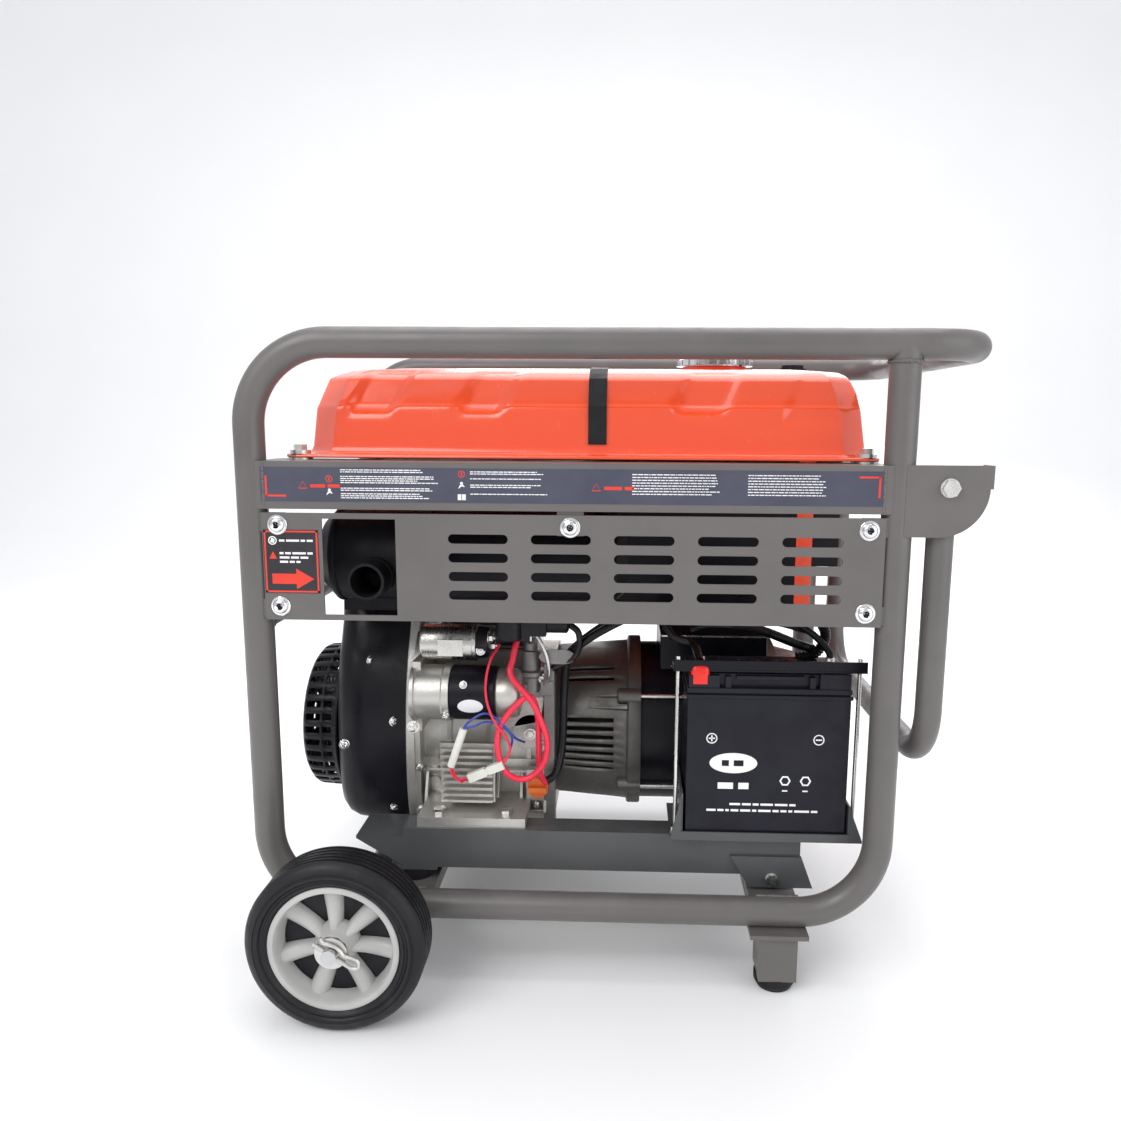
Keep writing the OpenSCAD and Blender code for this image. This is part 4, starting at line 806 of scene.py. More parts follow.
def printOn(name, bars, faceY, paint):
    # bars are ((x, z), (width, height)) on a face that looks along -Y
    spots = [((x, faceY, z), (0, 0, 0), (w, 1.0, h)) for (x, z), (w, h) in bars]
    unit = Shape().box((-0.5, -ink, -0.5), (0.5, 0.02, 0.5))
    return newPiece(name, setOut(name, unit, spots, paint), None, "frame", "black_plastic")


beamPlate = {"fromLeft": 6, "toRight": 8, "fromTop": 6, "tall": 36, "rowHigh": 0.95}


def makeBeamPlate(b):
    low, high = edges("side_beams")
    x0, x1 = low.x + b["fromLeft"], high.x - b["toRight"]
    z1 = high.z - b["fromTop"]
    z0 = z1 - b["tall"]
    y = low.y
    rng = random.Random(5)
    framePiece("beamPlate", Shape().box((x0, y - plateThick, z0), (x1, y + 0.2, z1)), "stickerSlate",
               slot="frame_paint")
    y -= plateThick
    red, white = [], []
    for x, z, dx, dz in ((x0 + 6, z0 + 6, 1, 1), (x1 - 6, z1 - 6, -1, -1)):
        red += [((x + dx * 10.5, z), (21, 2.0)), ((x, z + dz * 10), (2.0, 22))]
    for cx in (x0 + 45, x0 + 352):
        red += [((cx, z0 + 14), (9, 0.9))] + dashes(cx + 8, cx + 39, z0 + 16.5, 3.4, rng)
    even = (0.86, 0.78, 0.70, 0.62, 0.54, 0.46, 0.38, 0.30)
    blocks = [(85, 190, (0.93, 0.87, 0.74, 0.68, 0.62, 0.56, 0.40, 0.34, 0.24, 0.18, 0.12)),
              (221, 308, (0.9, 0.84, 0.70, 0.52, 0.46, 0.26)), (389, 482, even), (508, 596, even)]
    for a, c, rows in blocks:
        for v in rows:
            white += dashes(x0 + a, x0 + c - rng.uniform(2, 26), z0 + v * b["tall"], b["rowHigh"], rng)
    printOn("beamRedMarks", red, y, "printRed")
    printOn("beamWhiteMarks", white, y, "print")
    icons, warn = Shape(), Shape()
    for right, above, kind in ((73, 24, 1), (73, 10, 0), (212, 30, 1), (212, 18, 0), (212, 6, 2)):
        cx, cz = x0 + right, z0 + above
        if kind == 1:
            ringMark(warn, (cx, y, cz), 3.6, 2.8)
            warn.box((cx - 0.6, y - ink, cz - 2), (cx + 0.6, y, cz + 2))
        elif kind == 0:
            ringMark(icons, (cx, y, cz + 2.4), 1.5, dot)
            icons.prism([(cx - 3.6, cz - 3.4), (cx + 0.2, cz - 0.6), (cx + 3.4, cz - 1.6),
                         (cx + 1.2, cz + 1.6), (cx - 1.6, cz + 0.8)], y - ink, y)
        else:
            icons.box((cx - 4.2, y - ink, cz - 3), (cx - 0.4, y, cz + 3))
            icons.box((cx + 0.4, y - ink, cz - 3), (cx + 4.2, y, cz + 3))
    for cx in (x0 + 45, x0 + 352):
        for a, c in (((-5, 0), (0, 8)), ((0, 8), (5, 0))):
            warn.prism([(cx + a[0], z0 + 13.6 + a[1]), (cx + c[0], z0 + 13.6 + c[1]),
                        (cx + c[0] * 0.78, z0 + 14.8 + c[1] * 0.76),
                        (cx + a[0] * 0.78, z0 + 14.8 + a[1] * 0.76)], y - ink, y)
    framePiece("beamIcons", icons, "print")
    framePiece("beamWarnings", warn, "printRed")


def ringMark(shape, c, outer, inner, steps=20):
    shape.lathe([(-ink, inner), (-ink, outer), (0.02, outer), (0.02, inner)], c, 1, steps,
                closed=inner > 0.1)


heatLabel = {"x": (1, 60), "z": (29, 97), "border": 1.8}


def makeHeatLabel(h):
    low = edges("guard_panel")[0]
    x0, x1 = low.x + h["x"][0], low.x + h["x"][1]
    z0, z1 = low.z + h["z"][0], low.z + h["z"][1]
    y, e = low.y, h["border"]
    framePiece("heatLabel", Shape().box((x0, y - plateThick, z0), (x1, y + 0.2, z1)), "labelBlack")
    y -= plateThick
    mid, wide, tall = (x0 + x1) / 2, x1 - x0, z1 - z0
    rng = random.Random(8)
    red = [((mid, z), (wide - e, e)) for z in (z0 + e, z1 - e)]
    red += [((x, (z0 + z1) / 2), (e, tall - e)) for x in (x0 + e, x1 - e)]
    printOn("heatLabelBorder", red, y, "printRed")
    white = dashes(x0 + 17, x1 - 6, z1 - 11.5, 2.2, rng)
    for k in range(3):
        white += dashes(x0 + 17, x1 - (5, 9, 20)[k], z1 - 25 - k * 4.6, 2.2, rng)
    printOn("heatLabelRows", white, y, "print")
    arrow = Shape().prism([(x0 + 8, z0 + 10), (x1 - 25, z0 + 10), (x1 - 25, z0 + 4.5), (x1 - 6, z0 + 15.5),
                           (x1 - 25, z0 + 26.5), (x1 - 25, z0 + 21), (x0 + 8, z0 + 21)], y - ink, y)
    arrow.prism([(x0 + 6, z1 - 31), (x0 + 14, z1 - 31), (x0 + 10, z1 - 23)], y - ink, y)
    framePiece("heatArrow", arrow, "printRed")
    sign = Shape()
    ringMark(sign, (x0 + 10, y, z1 - 11.5), 4.6, 3.5)
    sign.prism([(x0 + 7.4, z1 - 13.4), (x0 + 11.8, z1 - 14), (x0 + 12.4, z1 - 10), (x0 + 9, z1 - 8.6)],
               y - ink, y)
    framePiece("heatSign", sign, "print")


makeBeamPlate(beamPlate)
makeHeatLabel(heatLabel)
print("plates printed")


# battery, its clamp and its marks
battery = {"lidBand": 30, "headroom": 8, "edge": 2.6}


def makeBattery(b):
    low, high = edges("battery")
    top = high.z - b["headroom"]
    seam = top - b["lidBand"]
    x0, x1, y0, y1 = low.x, high.x, low.y, high.y
    long = x1 - x0
    case = Shape().box((x0 + 2, y0 + 2, low.z), (x1 - 2, y1 - 2, seam + 1))
    for x in np.linspace(x0 + 14, x1 - 14, 2):
        case.box((x - 1.5, y0 + 1.4, low.z), (x + 1.5, y0 + 3, low.z + 5))
    framePiece("batteryCase", case, "batteryCase", ["battery"], bevel=b["edge"])
    lid = Shape().box((x0, y0, seam), (x1, y1, seam + 4.5))
    lid.box((x0 + 1.2, y0 + 1.2, seam + 5.6), (x1 - 1.2, y1 - 1.2, seam + 12))
    lid.box((x0 + 2.5, y0 + 3, seam + 4), (x1 - 2.5, y1 - 3, seam + 7))
    framePiece("batteryLid", lid, "batteryCase", bevel=1.0)
    crown = Shape().box((x0 + 3, y0 + 9, seam + 11), (x1 - 3, y1 - 3, top - 3))
    for a, c in ((0.015, 0.20), (0.80, 0.985)):
        crown.box((x0 + long * a, y0 + 2.4, seam + 11),
                  (x0 + long * c, y0 + 30, top - (1 if a > 0.5 else 4)))
    for a, c in ((0.235, 0.27), (0.74, 0.775)):
        crown.box((x0 + long * a, y0 + 3.0, seam + 11), (x0 + long * c, y0 + 12, top - 5))
    crown.box((x0 + long * 0.30, y0 + 4.4, top - 9), (x0 + long * 0.71, y0 + 9.5, top - 4.6))
    for k in range(6):
        crown.lathe([(0, 7.5), (1.6, 7.5), (2.2, 6.8), (2.2, dot)],
                    (x0 + 36 + k * 23, y1 - 22, top - 3.4), 2, 24)
    framePiece("batteryCrown", crown, "batteryCase", bevel=0.8)
    posts = Shape()
    for x in (x0 + 18, x1 - 18):
        posts.lathe([(-4, 6), (6.5, 5.6), (7.6, 4.8), (7.6, dot)], (x, y0 + 44, top), 2, 28)
        posts.box((x - 6, y0 + 30, top - 3), (x + 6, y0 + 44, top + 1.6))
    framePiece("batteryPosts", posts, "zinc", bevel=0.4)
    boot = Shape()
    cx = x0 + 15.5
    boot.rows([[(cx + (11 - k * 0.9) * math.copysign(abs(math.cos(a)) ** 0.5, math.cos(a)),
                 y0 + 13 + (11.5 - k * 0.9) * math.copysign(abs(math.sin(a)) ** 0.5, math.sin(a)), z)
                for a in allRound(36)]
               for k, z in ((0, top - 14), (0, top - 4), (0.3, top + 2), (1.3, top + 5), (3.5, top + 7),
                            (7, top + 7.8))])
    framePiece("batteryRedBoot", boot, "redPlastic", crease=50)
    y = y0 + 2
    marks, solid = [], Shape()
    plusX, minusX, markZ = x0 + 30, x0 + 150, top - 77
    for x in (plusX, minusX):
        ringMark(solid, (x, y, markZ), 6.2, 5.0, 32)
        marks.append(((x, markZ), (7, 1.5)))
    marks.append(((plusX, markZ), (1.5, 7)))
    oval = [(x0 + 55 + 27 * math.cos(a), top - 106 + 12 * math.sin(a)) for a in allRound(40)]
    solid.prism(oval, y - ink, y + 0.02)
    for cx in (x0 + 114, x0 + 137):
        ringMark(solid, (cx, y, top - 126), 6.4, 4.4, 6)
        marks.append(((cx, top - 138), (6, 1.6)))
    rng = random.Random(21)
    marks += dashes(x0 + 38, x0 + 73, top - 133, 7.5, rng)
    marks += dashes(x0 + 52, x0 + 127, top - 155, 2.6, rng)
    marks += dashes(x0 + 26, x0 + 152, top - 162.5, 2.6, rng)
    printOn("batteryBars", marks, y, "print")
    framePiece("batteryMarks", solid, "print")
    spots = Shape()
    for sx, w in ((-9, 8), (6, 11)):
        spots.box((x0 + 55 + sx - w / 2, y - 0.2, top - 109.5),
                  (x0 + 55 + sx + w / 2, y - 0.1, top - 102.5))
    framePiece("batteryOvalBars", spots, "batteryCase")


def makeClamp():
    low, high = edges("battery_clamp")
    top = edges("battery")[1].z - battery["headroom"]
    angle = Shape().box((low.x, low.y, top), (high.x, high.y, top + 2.5))
    angle.box((low.x, low.y, top), (high.x, low.y + 2.5, top + 13))
    framePiece("clampBar", angle, "black", ["battery_clamp"], slot="frame_paint", bevel=0.6)
    y = (low.y + high.y) / 2
    rods, nuts = Shape(), []
    for x in (low.x + 6, high.x - 6):
        rods.lathe([(0, dot), (0, 2.5), (top + 14 - low.z, 2.5), (top + 15 - low.z, 1.8),
                    (top + 15 - low.z, dot)], (x, y, low.z), 2, 16)
        nuts += [((x, y, top + 2.5), (0, 0, 12), 0.82), ((x, y, low.z + 2.6), (0, 0, 40), 0.82)]
    framePiece("clampRods", rods, "zinc")
    newFixings("clampNuts", hexShape(thread=0), nuts)


makeBattery(battery)
makeClamp()
print("battery made")


# starter motor, solenoid and the parts on the engine's near side
starter = {"axis": (-122, 305), "gear": (-239, -191), "can": (-191, -137), "cap": (-137, -108), "r": 34}


def makeStarter(s):
    y, z = s["axis"]
    r = s["r"]
    a, b = s["gear"]
    drum = Shape().lathe([(0, dot), (0, r - 1), (1.5, r + 1), (6, r + 1), (7, r - 2), (12, r - 1),
                          (b - a - 10, r - 1), (b - a - 8, r + 0.6), (b - a, r + 0.6),
                          (b - a, dot)], (a, y, z), 0, 64)
    drum.lathe([(0, dot), (0, 28), (3, 29.5), (22, 29.5), (27, 27), (29, 20), (29, 11), (34, 10), (35, 8),
                (35, dot)], (s["cap"][0], y, z), 0, 56)
    drum.box((a + 2, y - 12, z - 46), (a + 12, y + 60, z + 40))
    framePiece("starterEnds", drum, "cast", ["starter_motor"], bevel=0.5)
    can = Shape().lathe([(0, 31), (1.2, 32.5), (s["can"][1] - s["can"][0] - 1.2, 32.5),
                         (s["can"][1] - s["can"][0], 31)], (s["can"][0], y, z), 0, 72)
    framePiece("starterCan", can, "black")
    plate = Shape()
    strips = []
    for t in np.linspace(0.06, math.pi - 0.06, 24):
        around = np.linspace(-0.24 - 0.27 * math.sin(t), -0.24 + 0.27 * math.sin(t), 7)
        loop = [(33.0, v) for v in around] + [(32.3, v) for v in around[::-1]]
        strips.append([(s["can"][0] + 26 + 15 * math.cos(t), y - rr * math.cos(v), z + rr * math.sin(v))
                       for rr, v in loop])
    plate.rows(strips)
    framePiece("starterOval", plate, "print", crease=60)
    sy, sz = y + 4, z + 61
    sol = Shape().lathe([(0, dot), (0, 20), (2, 21.6), (60, 21.6), (61.5, 21), (62, 22.2), (66, 22.2),
                         (67, 20.5), (67, dot)], (a + 12, sy, sz), 0, 56)
    sol.box((a + 34, sy - 23, sz - 12), (a + 64, sy - 14, sz + 8))
    framePiece("solenoidCan", sol, "satinSteel", bevel=0.4)
    cap = Shape().lathe([(0, 19), (10, 18.4), (13, 16.5), (14, 13), (14, dot)], (a + 79, sy, sz), 0, 40)
    framePiece("solenoidCap", cap, "blackPlastic")
    nuts = [((a + 92, sy - 9, sz + 8), rightward, 0.85),
            ((a + 92, sy + 8, sz - 6), rightward, 0.85),
            ((a + 84, sy - 17, sz - 6), (90, 0, 10), 0.6),
            ((b - 4, y - 30, z - 20), (105, 0, 0), 0.55),
            ((b + 18, y - 30, z + 18), (70, 0, 0), 0.5),
            ((a + 6, y - 30, z - 34), front, 0.8)]
    newFixings("starterNuts", hexShape(across=12, tall=6), nuts)


makeStarter(starter)

block = {"flange": [(-104, 130), (-113, 176), (-113, 296), (-104, 340), (-84, 366), (-66, 372), (62, 372),
                    (94, 340), (106, 250), (104, 130)]}


def makeBlockParts(b):
    low, high = edges("crankcase")
    x0, x1 = low.x, high.x
    plate = Shape().prism(b["flange"], x0 - 4, x0 + 4, axis=0)
    framePiece("blockFlange", plate, "cast", bevel=0.8)
    ribs = Shape()
    for x in np.linspace(x0 + 10, x1 - 8, 6):
        ribs.prism([(-97, 150), (-118, 150), (-112, 172), (-100, 200)], x - 2, x + 2, axis=0)
    ribs.box((x0, -112, 147), (x1, -90, 151)).box((x0 + 2, -104, 196), (x1, -90, 199))
    ribs.lathe([(0, 22), (6, 21), (8, 17), (9, dot)][::-1], (x1 - 26, -104, 250), 1, 40)
    ribs.prism([(x1 - 62, 252), (x1 - 14, 262), (x1 - 8, 300), (x1 - 20, 330), (x1 - 52, 318),
                (x1 - 66, 290)], -104, -84)
    framePiece("blockRibs", ribs, "cast", bevel=0.8)
    nuts = [((x, -109, 158), (90, 0, 15 * i), 0.62) for i, x in enumerate(np.linspace(x0 + 20, x1 - 18, 5))]
    nuts += [((x0 + 3, -114, z), front, 0.55) for z in (150, 205, 330)]
    nuts.append(((x1 - 26, -113, 250), front, 0.8))
    nuts += [((x1 - 12, -105, z), front, 0.7) for z in (210, 232, 300, 318)]
    newFixings("blockBolts", hexShape(across=12, tall=5, thread=0), nuts)
    pump = Shape().lathe([(0, dot), (0, 15), (20, 15), (22, 17), (27, 17), (29, 12), (52, 11), (53, 8),
                          (62, 8), (62, dot)], (x1 - 26, -98, 300), 2, 32)
    pump.box((x1 - 44, -112, 296), (x1 - 8, -84, 303))
    framePiece("pumpBody", pump, "iron", bevel=0.5)
    pipes = Shape().tube([(x1 - 26, -98, 360), (x1 - 26, -98, 384), (x1 - 34, -92, 400),
                          (x1 - 60, -72, 410), (x1 - 78, -52, 416)], 2.8, 10)
    pipes.tube([(x1 - 12, -110, 306), (x1 - 2, -122, 330), (x1 - 8, -124, 362), (x1 - 30, -116, 388),
                (x1 - 70, -96, 396)], 2.4, 10)
    framePiece("fuelPipes", pipes, "steel")
    dark = Shape().lathe([(0, dot), (0, 14), (2, 16), (34, 16), (37, 13), (37, 5), (48, 4.4), (48, dot)],
                         (x1 - 48, -128, 372), 2, 32)
    dark.box((x1 - 34, -136, 378), (x1 - 4, -110, 410))
    dark.lathe([(0, 12), (24, 12), (26, 9), (26, dot)], (x1 - 4, -122, 392), 0, 24)
    framePiece("fuelFilter", dark, "blackPlastic", bevel=0.8)
    hoses = Shape().tube([(x1 - 48, -128, 416), (x1 - 46, -134, 440), (x1 - 20, -140, 458),
                          (x1 + 20, -140, 470), (x1 + 60, -132, 500)], 5, 12)
    hoses.tube([(x1 + 20, -122, 392), (x1 + 34, -126, 380), (x1 + 30, -120, 352), (x1 + 2, -116, 334)], 4,
               12)
    framePiece("fuelHoses", hoses, "blackWire")
    band = Shape().prism([(-82, 122), (-69, 122), (-69, 346), (-82, 338)], -114, -88)
    band.box((-86, -116, 300), (-70, -90, 318)).box((-86, -115.5, 176), (-72, -90, 190))
    framePiece("adaptorBand", band, "iron", bevel=0.8)
    pad = Shape().box((-104, -113.5, 164), (-75, -100, 204))
    framePiece("dipstickPad", pad, "cast", bevel=0.8)
    oval = [(x1 + 2 + 16 * math.cos(a) + 12 * (math.cos(a) > 0), 350 + 9 * math.sin(a))
            for a in allRound(28)]
    tab = Shape().prism(oval, -122, -120)
    framePiece("liftTab", tab, "iron", bevel=0.4)


makeBlockParts(block)

loom = {"tube": ((-171.8, 272.5), (-187.9, 225.7)), "plug": ((-166.9, 211.3), (-125.4, 229.4)), "y": -160}


def makeLoom(w):
    y = w["y"]
    (ax, az), (bx, bz) = w["tube"]
    sleeve = Shape().tube([(ax, y, az), ((ax + bx) / 2, y - 0.5, (az + bz) / 2), (bx, y, bz)], 4.6, 18)
    (cx, cz), (dx, dz) = w["plug"]
    d = Vector((dx - cx, 0, dz - cz)).normalized()
    n = Vector((-d.z, 0, d.x))
    for t0, t1, half in ((0.0, 0.5, 5.2), (0.5, 0.56, 3.8), (0.56, 1.0, 4.9)):
        ends = [Vector((cx, y, cz)).lerp(Vector((dx, y, dz)), t) for t in (t0, t1)]
        sleeve.rows([[tuple(c + n * u + Vector((0, v, 0)))
                      for u, v in ((-half, -4), (half, -4), (half, 4), (-half, 4))] for c in ends])
    framePiece("loomSleeves", sleeve, "whitePlastic", bevel=0.5)
    red = Shape().tube([(bx, y, bz), (bx + 1, y, bz - 9), (bx + 8, y, bz - 17), (cx - 10, y, cz - 1),
                        (cx, y, cz)], 1.3, 8)
    red.tube([(bx + 1, y + 2, bz), (bx + 4, y + 2, bz - 11), (bx + 12, y + 2, bz - 20),
              (cx - 6, y + 2, cz - 4), (cx + 1, y + 2, cz - 1)], 1.2, 8)
    red.tube([(-133, -128, 366), (-142, -150, 350), (-146, -158, 318), (-138, -160, 286),
              (-122, -160, 262), (-118, -156, 246), (-125.4, y, 230)], 1.5, 8)
    framePiece("thinRedWires", red, "redWire")
    blue = Shape().tube([(ax, y, az), (ax + 6, y, az + 8), (-150, -158, 290), (-138, -156, 287),
                         (-122, -156, 272), (-112, -150, 258), (-104, -130, 246)], 1.4, 8)
    blue.tube([(ax + 1, y, az), (ax + 12, y, az + 3), (-146, -157, 280), (-130, -156, 276),
               (-116, -154, 262), (-120, -150, 240), (-126, y, 229)], 1.4, 8)
    framePiece("thinBlueWires", blue, "blueWire")


makeLoom(loom)
print("starter, block parts and loom made")


# alternator bell with its cooling slots
bell = {"slots": [18, 15, 5, 3, 1, -1, -3, -5, -7], "wall": 7, "steps": 120}


def makeBell(b):
    low, high = edges("front_bell")
    statorLow, statorHigh = edges("stator")
    c = Vector((low.x, (statorLow.y + statorHigh.y) / 2, (statorLow.z + statorHigh.z) / 2))
    n = b["steps"]
    holes = set()
    for k in b["slots"]:
        for base in (n // 2, 0):
            holes |= {(row, (base - k - 1 if base else base + k) % n) for row in (3, 4, 5)}
    profile = [(0, 88), (0, 97), (4, 99), (14, 99.5), (42, 102), (46, 102.2), (76, 104.5), (92, 106),
               (93, 110.5), (95, 112), (108, 112), (110, 111), (110, 105)]
    shell = Shape().lathe(profile, c, 0, n, openCells=holes)
    framePiece("bellShell", shell, "bellCast", ["front_bell"], sheet=b["wall"], crease=32)
    inner = Shape().lathe([(6, dot), (6, 84), (9, 84), (9, dot)], c, 0, 48)
    inner.lathe([(12, 60), (12, 84), (96, 90), (96, 66)], c, 0, 64, closed=True)
    framePiece("bellInside", inner, "sootBlack")
    feet = Shape()
    for a in (180 - 25, 180 - 33, 25, 33):
        t = math.radians(a)
        rows = []
        for x, out, wide in ((44, 1, 0.6), (60, 4, 1.8), (84, 7.5, 3.2), (93, 9, 4.0)):
            rr = 102 + (x - 44) * 0.08
            rows.append([(c.x + x, c.y + q * math.cos(t) - w * math.sin(t),
                          c.z + q * math.sin(t) + w * math.cos(t))
                         for q, w in ((rr - 3, -wide), (rr + out, -wide * 0.6), (rr + out, wide * 0.6),
                                      (rr - 3, wide))])
        feet.rows(rows)
    for a in (33, 147, 213, 327):
        t = math.radians(a)
        feet.lathe([(0, dot), (0, 8), (2, 10), (30, 10), (30, dot)],
                   (c.x + 80, c.y + 107 * math.cos(t), c.z + 107 * math.sin(t)), 0, 20)
    framePiece("bellRibs", feet, "bellCast", bevel=0.8)
    rods, nuts = Shape(), []
    rearLow = edges("rear_bell")[0]
    for a in (33, 147, 213, 327):
        t = math.radians(a)
        y, z = c.y + 109 * math.cos(t), c.z + 109 * math.sin(t)
        rods.lathe([(0, dot), (0, 3), (rearLow.x - high.x + 22, 3), (rearLow.x - high.x + 22, dot)],
                   (high.x - 2, y, z), 0, 14)
        nuts.append(((rearLow.x + 14, y, z), rightward, 0.75))
    framePiece("bellRods", rods, "zinc")
    newFixings("bellNuts", hexShape(across=12, tall=6), nuts)


makeBell(bell)

# weld beads where tube and plate meet
welds = {"wide": 2.3, "pitch": 2.1}


def makeWelds(w):
    loopHigh = edges("top_loop_tube")[1]
    hoopLow, hoopHigh = edges("near_hoop")
    beamLow, beamHigh = edges("side_beams")
    crossLow, crossHigh = edges("upper_cross_tube")
    r = (hoopHigh.y - hoopLow.y) / 2
    paths = []
    for s in (-1, 1):
        y = s * (abs(hoopLow.y) - r)
        right = hoopHigh.x - r
        paths.append(ringPath((right, y, loopHigh.z - 2 * r - 1.5), r + 0.4, 2))
        for x in (hoopLow.x + 2 * r + 1, hoopHigh.x - 2 * r - 1):
            edge, face = x + (0.6 if x < 0 else -0.6), s * (abs(beamLow.y) - 1)
            paths.append([(edge, face, beamLow.z + 3), (edge, face, beamHigh.z - 2)])
        mid = (crossLow.x + crossHigh.x) / 2
        paths.append(ringPath((mid, y - s * (r + 0.5), (crossLow.z + crossHigh.z) / 2),
                              (crossHigh.z - crossLow.z) / 2 + 0.3, 1))
        for name in ("crossmembers", "foot_legs"):
            low, high = edges(name)
            pair = ((low.x, low.x + 52), (high.x - 52, high.x))
            for x in pair if name == "crossmembers" else ((low.x, high.x),):
                z = hoopLow.z + (0.6 if name == "foot_legs" else 2 * r)
                paths.append([(x[0] + 4, y - s * 4, z), (x[1] - 4, y - s * 4, z)])
    weldSeams("frameWelds", paths, "frame", "frame", "frame_paint", w["wide"], w["pitch"])


makeWelds(welds)
print("welds laid")


# blower housing: a rounded shell with its casting flange
blower = {"side": [(-60, 118), (-92, 126), (-106, 146), (-112, 180), (-114, 230), (-108, 290), (-92, 340),
                   (-74, 370), (-60, 400), (-56, 454), (82, 454), (86, 400), (104, 340), (126, 280),
                   (128, 230), (120, 170), (98, 130), (60, 118)],
          "round": [(0, 26), (5, 14), (14, 6), (26, 1.5), (42, 0)], "flange": (-253, -241),
          "screws": [(-272, -103, 150), (-330, -111, 232), (-268, -109, 262), (-300, -90, 334),
                     (-262, -66, 384)]}


def softLoop(points):
    # cuts the corners of a closed outline until it runs round
    for _ in range(2):
        points = [q for i, (x, y) in enumerate(points) for (u, v) in [points[(i + 1) % len(points)]]
                  for q in ((x * 0.75 + u * 0.25, y * 0.75 + v * 0.25),
                            (x * 0.25 + u * 0.75, y * 0.25 + v * 0.75))]
    return points


def makeBlower(b):
    low = edges("blower_housing")[0]
    ring = softLoop(b["side"])
    midY, midZ = 6, 286

    def loop(x, inset):
        return [(x, midY + (y - midY) * (1 - inset / 110), midZ + (z - midZ) * (1 - inset / 168))
                for y, z in ring]
    shell = Shape().rows([loop(low.x + x, inset) for x, inset in b["round"]]
                         + [loop(b["flange"][0] + 1, 0)])
    framePiece("blowerShell", shell, "black", ["blower_housing"], crease=38)
    x0, x1 = b["flange"]
    rim = Shape().rows([loop(x0, -0.2), loop(x0 + 1.2, -1.6), loop(x1 - 1.2, -1.6), loop(x1, -0.2)])
    framePiece("blowerFlange", rim, "cast", crease=40)
    heads = [((x, y - 0.6, z), (90, 0, 20 * i), 0.62) for i, (x, y, z) in enumerate(b["screws"])]
    newFixings("blowerScrews", screwShape(**screw), heads, "chrome", 0.0)


makeBlower(blower)


# battery lead: a red loop by the starter, sleeved black along the engine
leads = {"loop": [(-112, -128, 373), (-116, -140, 352), (-117, -150, 334), (-94, -154, 307),
                  (-83, -156, 286), (-74, -157, 257), (-79, -158, 229), (-100, -158, 211),
                  (-123, -158, 219), (-133, -156, 249), (-128, -154, 277), (-108, -151, 302),
                  (-94, -149, 309), (-86, -148, 286), (-85, -146, 246), (-84, -142, 212), (-78, -134, 196)],
         "sleeve": [(-78, -134, 198), (-66, -122, 206), (-60, -106, 236), (-58, -100, 300),
                    (-52, -110, 346), (-24, -116, 374), (24, -108, 398), (52, -108, 402)],
         "ribbed": [(236, -118, 408), (246, -120, 396), (252, -120, 384), (250, -119, 370),
                    (240, -114, 356), (222, -104, 350)],
         "ground": [(-90, -82, 284), (-84, -93, 300), (-66, -100, 334), (-30, -104, 372), (20, -100, 400),
                    (90, -100, 410), (190, -108, 404), (232, -120, 386)]}


def makeLeads(w):
    red = Shape().tube(w["loop"], 3.7, 16)
    low, high = edges("battery")
    x, z = low.x + 18, high.z - battery["headroom"]
    framePiece("redLead", red, "redWire", ["red_cable"])
    sleeve = Shape().tube(w["sleeve"] + [(x - 30, -128, z + 26), (x - 8, -138, z + 20),
                                         (x - 2, low.y + 22, z + 7)], 5.0, 16)
    framePiece("leadSleeve", sleeve, "blackWire")
    ground = Shape().tube(w["ground"] + [(high.x - 19, -138, z + 14), (high.x - 18, low.y + 44, z + 3)],
                          4.2, 14)
    framePiece("groundLead", ground, "blackWire", ["black_cable"])
    # ribbed conduit and the harness over the battery
    ribbed = []
    path = smoothPath(w["ribbed"], 10)
    conduit = Shape()
    side = Vector((0, 1, 0))
    for i, p in enumerate(path):
        ahead = (path[min(i + 1, len(path) - 1)] - path[max(i - 1, 0)]).normalized()
        other = ahead.cross(side).normalized()
        ribbed.append([tuple(p + (side * math.cos(a) + other * math.sin(a)) * (6.6 if i % 2 else 5.4))
                       for a in allRound(16)])
    conduit.rows(ribbed)
    conduit.tube([(96, -110, 384), (120, -120, 392), (170, -122, 388), (214, -120, 372), (240, -110, 362)],
                 5.5, 12)
    conduit.tube([(110, -104, 396), (150, -112, 400), (196, -116, 394), (232, -112, 384)], 3.6, 10)
    framePiece("harness", conduit, "blackWire", crease=30)


makeLeads(leads)
print("blower and leads made")


# control box: black sheets as painted shade on its near face and past its end, fitted face with plates,
# dials and sockets
panel = {"inset": 3, "thick": 1.4, "wing": 25, "screws": 9}
junction = {"low": (61, -58, 318), "high": (195, 84, 363)}


def makeControlBox(b):
    low, high = edges("control_box")
    i = b["inset"]
    # painted shade: a black sheet over the orange box's near face, which stands in deep shadow, and a black
    # plate past the wing where only shade shows
    sheet = Shape().box((low.x + i, low.y - b["thick"], low.z + i), (high.x - 1, low.y + 0.2, high.z - i))
    sheet.box((high.x + b["wing"], low.y + 20, 420), (high.x + b["wing"] + 40, low.y + 22, high.z - i))
    framePiece("controlBack", sheet, "black", bevel=0.4)
    wing = Shape().box((high.x - 2, low.y + 18, low.z - 6),
                       (high.x + b["wing"] + 1, low.y + 20, high.z - i))
    framePiece("controlWing", wing, "orange", bevel=0.4)
    e = b["screws"]
    heads = [((x, high.y, z), back, 0.62) for x in (low.x + e, (low.x + high.x) / 2 + 24, high.x - e)
             for z in (low.z + e, high.z - e)]
    newFixings("controlScrews", screwShape(**screw), heads, "chrome", 0.0)


def makeJunction(j):
    (x0, y0, z0), (x1, y1, z1) = j["low"], j["high"]
    framePiece("junctionBox", Shape().box((x0, y0, z0), (x1, y1, z1)), "black", bevel=1.5)
    framePiece("junctionTrim", Shape().box((x0 + 1, y0 - 0.6, z1 - 1.6), (x1 - 1, y0 + 0.4, z1 + 0.2)),
               "zinc")


